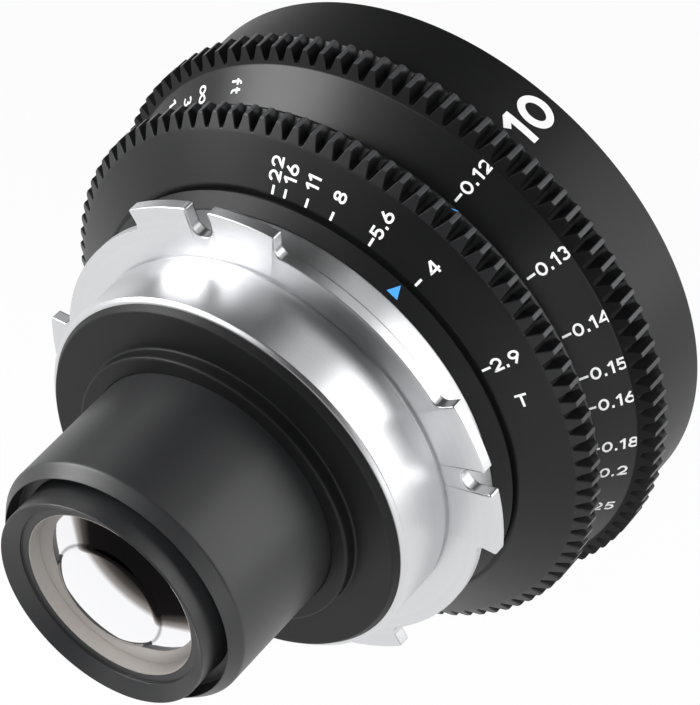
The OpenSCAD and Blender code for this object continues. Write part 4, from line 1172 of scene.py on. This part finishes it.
class LENS_OT_iris_scale(LensPiece, bpy.types.Operator):
    """White stop marks and numerals on the slope of the iris ring"""
    bl_idname = "lens.iris_scale"
    bl_label = "Iris scale"

    def make(self, looks):
        s = Sizes(looks.rings)
        slope = math.atan2(s.crease_r - s.iris_rear_r, s.crease - s.iris_rear)
        middle, letter, tick_ends = 3.3, 2.2, (0.1, 1.25)

        def face(turn):
            return on_slope(s.iris_rear_r, s.iris_rear, slope, math.radians(turn))

        def start(text):
            return middle - width_of(text) * s.numeral / 2

        shells = marked(IRIS_MARKS, face, tick_ends, s.numeral, s.mark_lift, start, IRIS_APART)
        shells += lettered("T", s.numeral, face(STOP_LETTER), s.mark_lift, letter)
        piece("scale_iris", joined(*shells), "white", None, "iris_drive", sharp=40)


class LENS_OT_focus_scale(LensPiece, bpy.types.Operator):
    """White distance marks and numerals on the focus ring"""
    bl_idname = "lens.focus_scale"
    bl_label = "Focus scale"

    def make(self, looks):
        s = Sizes(looks.rings)
        slope = math.atan2(s.scale_r - s.scale_rear_r, s.scale_front - s.scale_rear)
        tick_station, tick_length, numeral, letter, foot_middle = 19.45, 1.2, 1.45, 1.9, 3.33
        near = (tick_station - s.scale_rear) / math.cos(slope)

        def face(turn):
            return on_slope(s.scale_rear_r, s.scale_rear, slope, math.radians(turn))

        def turned_face(turn):
            return on_slope(s.scale_rear_r, s.scale_rear, slope, math.radians(turn), flip=-1)

        def foot_start(text):
            return -near - foot_middle - width_of(text) * s.focus_numeral / 2

        shells = marked(METRE_MARKS, face, (near, near + tick_length), s.focus_numeral, s.mark_lift,
                        lambda text: near + numeral)
        shells += lettered("m", s.focus_numeral, face(METRE_LETTER), s.mark_lift, near + letter)
        shells += marked(FOOT_MARKS, turned_face, (-near - tick_length, -near), s.focus_numeral, s.mark_lift,
                         foot_start)
        shells += lettered("ft", s.focus_numeral, turned_face(FOOT_LETTERS), s.mark_lift, foot_start("ft"))
        piece("scale_focus", joined(*shells), "white", None, "focus_drive", sharp=40)


class LENS_OT_index_marks(LensPiece, bpy.types.Operator):
    """Blue index marks and the white focal-length number"""
    bl_idname = "lens.index_marks"
    bl_label = "Index marks"

    def make(self, looks):
        s = Sizes(looks.rings)
        m = Sizes(looks.mount)
        f = Sizes(looks.front)
        iris_turn, focus_turn, number_turn = np.radians([62.0, 63.7, 66.0])
        number_start, number_weight = 29.6, 0.2
        slope = math.atan2(s.index_r - m.neck_r, s.index_front - m.neck_front)
        iris_face = on_slope(m.neck_r, m.neck_front, slope, iris_turn)
        focus_face = on_slope(s.focus_index_r, s.focus_index_rear, 0.0, focus_turn)
        marks = joined(pointer(base=0.62, tip=2.2, width=1.75, surface=iris_face, lift=s.mark_lift),
                       pointer(base=0.06, tip=0.5, width=1.6, surface=focus_face, lift=s.mark_lift))
        piece("marks_index", marks, "blue", sharp=40)
        face = on_slope(f.barrel_r, 0.0, 0.0, number_turn)
        number = lettered("10", f.number_height, face, s.mark_lift, number_start, weight=number_weight)
        piece("number_front", joined(*number), "white", sharp=40)


class LENS_OT_inner_pieces(LensPiece, bpy.types.Operator):
    """Finishes of the inner pieces, which keep their solids"""
    bl_idname = "lens.inner_pieces"
    bl_label = "Inner pieces"

    def make(self, looks):
        by_slot = {"black_anodised": "inner", "ring_anodised": "ring", "bright_mount": "bright",
                   "dark_steel": "steel", "brass": "brass", "blade_black": "blade", "optical_glass": "glass"}
        for part in frame["record"]["subparts"]:
            obj = frame["nodes"][part["node"]]
            obj.data.materials.clear()
            obj.data.materials.append(finish(by_slot[part["material_slot"]]))


# Stage


# Name, place, aim, width and height in metres, and radiance of each soft lamp
SOFTBOXES = (
    ("soft_front_right", (0.16, 0.13, 0.09), (0.0, 0.12, 0.05), (0.16, 0.22), 2.7),
    ("soft_rear_right", (0.16, -0.12, 0.045), (0.0, -0.12, 0.03), (0.08, 0.15), 1.65),
    ("soft_rear_left", (-0.16, -0.12, 0.12), (0.0, -0.12, 0.07), (0.08, 0.16), 3.6),
    ("soft_left", (-0.16, -0.05, 0.115), (0.0, -0.04, 0.05), (0.09, 0.12), 9.5),
    ("soft_front_left", (-0.16, 0.085, 0.15), (0.0, 0.085, 0.1), (0.09, 0.12), 1.0),
    ("soft_shoulder", (-0.287, -0.497, 0.40), (0.0, 0.0, 0.0), (0.34, 0.34), 1.85),
    ("soft_top", (0.175, 0.303, 0.606), (0.0, 0.0, 0.0), (0.34, 0.34), 0.8),
)
# The same for a lamp that isn't mirrored
FILL = ((0.208, -0.446, 0.506), (0.0, 0.0, 0.0), (0.6, 0.6), 4.6)


def soft_box(name, place, aim, size, radiance):
    """A soft rectangular lamp at a place that faces an aim; its power is its radiance times pi times its
    area."""
    lamp = bpy.data.lights.new(name, "AREA")
    lamp.shape = "RECTANGLE"
    lamp.size, lamp.size_y = size
    lamp.energy = radiance * math.pi * size[0] * size[1]
    obj = bpy.data.objects.new(name, lamp)
    bpy.context.scene.collection.objects.link(obj)
    obj.location = Vector(place)
    obj.rotation_euler = (Vector(aim) - Vector(place)).to_track_quat("-Z", "Y").to_euler()
    return obj


def seen_white(tree):
    """1 for rays that should see the white background: from the camera, mirrored or through glass."""
    path = tree.nodes.new("ShaderNodeLightPath")
    camera, glossy, clear = (Field(tree, path.outputs[k]) for k in
                             ("Is Camera Ray", "Is Glossy Ray", "Is Transmission Ray"))
    return (camera + glossy + clear).clip()


# Camera sensor and picture height, half the floor's side, and the share of the floor that is plain white
SENSOR, PICTURE_HEIGHT, FLOOR_HALF, WHITE_SHARE = 36.0, 705.0, 6.0, 0.93


class LENS_OT_stage(bpy.types.Operator):
    """Camera, pale floor and soft studio light"""
    bl_idname = "lens.stage"
    bl_label = "Stage"
    bl_options = {"REGISTER", "UNDO"}

    def execute(self, context):
        stage = context.scene.lens_looks.stage
        scene = context.scene
        scene.view_settings.view_transform = "Standard"
        self.camera(scene, stage)
        self.floor(stage)
        self.world(scene)
        for box in SOFTBOXES:
            soft_box(*box)
        fill = soft_box("soft_fill", *FILL)
        fill.visible_glossy = False
        return {"FINISHED"}

    def camera(self, scene, stage):
        """Camera on a sphere round its aim."""
        aim = Vector(stage.aim)
        flat = stage.distance * math.cos(stage.elevation)
        place = aim + Vector((flat * math.sin(stage.azimuth), -flat * math.cos(stage.azimuth),
                              stage.distance * math.sin(stage.elevation)))
        data = bpy.data.cameras.new("view")
        data.sensor_fit = "VERTICAL"
        data.sensor_height = SENSOR
        data.lens = stage.focal_pixels * SENSOR / PICTURE_HEIGHT
        data.clip_start = 0.01
        data.clip_end = 50.0
        obj = bpy.data.objects.new("view", data)
        scene.collection.objects.link(obj)
        obj.location = place
        obj.rotation_euler = (aim - place).to_track_quat("-Z", "Y").to_euler()
        scene.camera = obj

    def floor(self, stage):
        """A wide pale floor under the lens: white where it is seen, with its shadow kept in a share of
        plain floor."""
        low = SOLID_BOX[0][2] - stage.floor_drop
        mesh = bpy.data.meshes.new("floor")
        corner = np.array([[-1, -1], [1, -1], [1, 1], [-1, 1]]) * FLOOR_HALF
        mesh.from_pydata(np.column_stack([corner, np.full(4, low)]).tolist(), [], [[0, 1, 2, 3]])
        obj = bpy.data.objects.new("floor", mesh)
        bpy.context.scene.collection.objects.link(obj)
        material = bpy.data.materials.new("pale_floor")
        material.use_nodes = True
        tree = material.node_tree
        shader = tree.nodes["Principled BSDF"]
        set_shader(shader, Base__Color=(0.85, 0.85, 0.85, 1.0), Roughness=0.8)
        start = Field(tree, shader.outputs[0])
        white = start.node("ShaderNodeEmission", {}, {"Color": (1, 1, 1, 1), "Strength": 1.0})
        share = WHITE_SHARE * seen_white(tree)
        mixed = start.node("ShaderNodeMixShader", {}, {0: share, 1: start, 2: white})
        tree.links.new(mixed.socket, tree.nodes["Material Output"].inputs["Surface"])
        mesh.materials.append(material)

    def world(self, scene):
        """Studio walls: pale at the horizon, dark overhead, and darker before and behind than at the
        sides."""
        world = bpy.data.worlds.new("studio")
        scene.world = world
        world.use_nodes = True
        tree = world.node_tree
        back = tree.nodes["Background"]
        place = Field(tree, tree.nodes.new("ShaderNodeTexCoord").outputs["Generated"])
        x, y, up = (place.node("ShaderNodeSeparateXYZ", {}, {0: place}, out=k) for k in range(3))
        stops = [(0.0, 0.9), (0.06, 0.6), (0.22, 0.38), (0.5, 0.28), (1.0, 0.26)]
        ramp = up.node("ShaderNodeValToRGB", {"stops": [(k, (v, v, v, 1)) for k, v in stops]}, {"Fac": up})
        side = x * x
        wide = side.sum("DIVIDE", side, side + y * y + 0.0001)
        shade = (0.08 + 0.14 * wide).clip()
        tree.links.new(ramp.socket, back.inputs["Color"])
        tree.links.new(shade.socket, back.inputs["Strength"])


class LENS_PT_looks(bpy.types.Panel):
    """Lists the lens's pieces and their sizes"""
    bl_idname = "LENS_PT_looks"
    bl_label = "Lens looks"
    bl_space_type = "VIEW_3D"
    bl_region_type = "UI"
    bl_category = "Lens"

    def draw(self, context):
        looks = context.scene.lens_looks
        for cls in PIECES:
            self.layout.operator(cls.bl_idname)
        for key in ("mount", "rear", "rings", "front", "finish", "stage"):
            settings = getattr(looks, key)
            box = self.layout.box()
            box.label(text=settings.bl_rna.name)
            for prop in settings.bl_rna.properties:
                if prop.identifier not in ("rna_type", "name"):
                    box.prop(settings, prop.identifier)


PIECES = (LENS_OT_inner_pieces, LENS_OT_bright_mount, LENS_OT_rear_cover, LENS_OT_rear_barrel,
          LENS_OT_rear_glass, LENS_OT_index_rings, LENS_OT_iris_ring, LENS_OT_focus_ring,
          LENS_OT_front_barrel, LENS_OT_front_glass, LENS_OT_iris_scale, LENS_OT_focus_scale,
          LENS_OT_index_marks, LENS_OT_stage)
GROUPS = (LensMountSizes, RearSizes, RingSizes, FrontSizes, FinishColours, StageSettings, LensLooks)


def register():
    for cls in GROUPS + PIECES + (LENS_PT_looks,):
        bpy.utils.register_class(cls)
    bpy.types.Scene.lens_looks = group("Lens looks", LensLooks)


def unregister():
    del bpy.types.Scene.lens_looks
    for cls in reversed(GROUPS + PIECES + (LENS_PT_looks,)):
        bpy.utils.unregister_class(cls)


def main():
    """Registers the classes and makes every piece in order."""
    register()
    for cls in PIECES:
        family, name = cls.bl_idname.split(".")
        getattr(getattr(bpy.ops, family), name)()


if __name__ == "__main__":
    main()
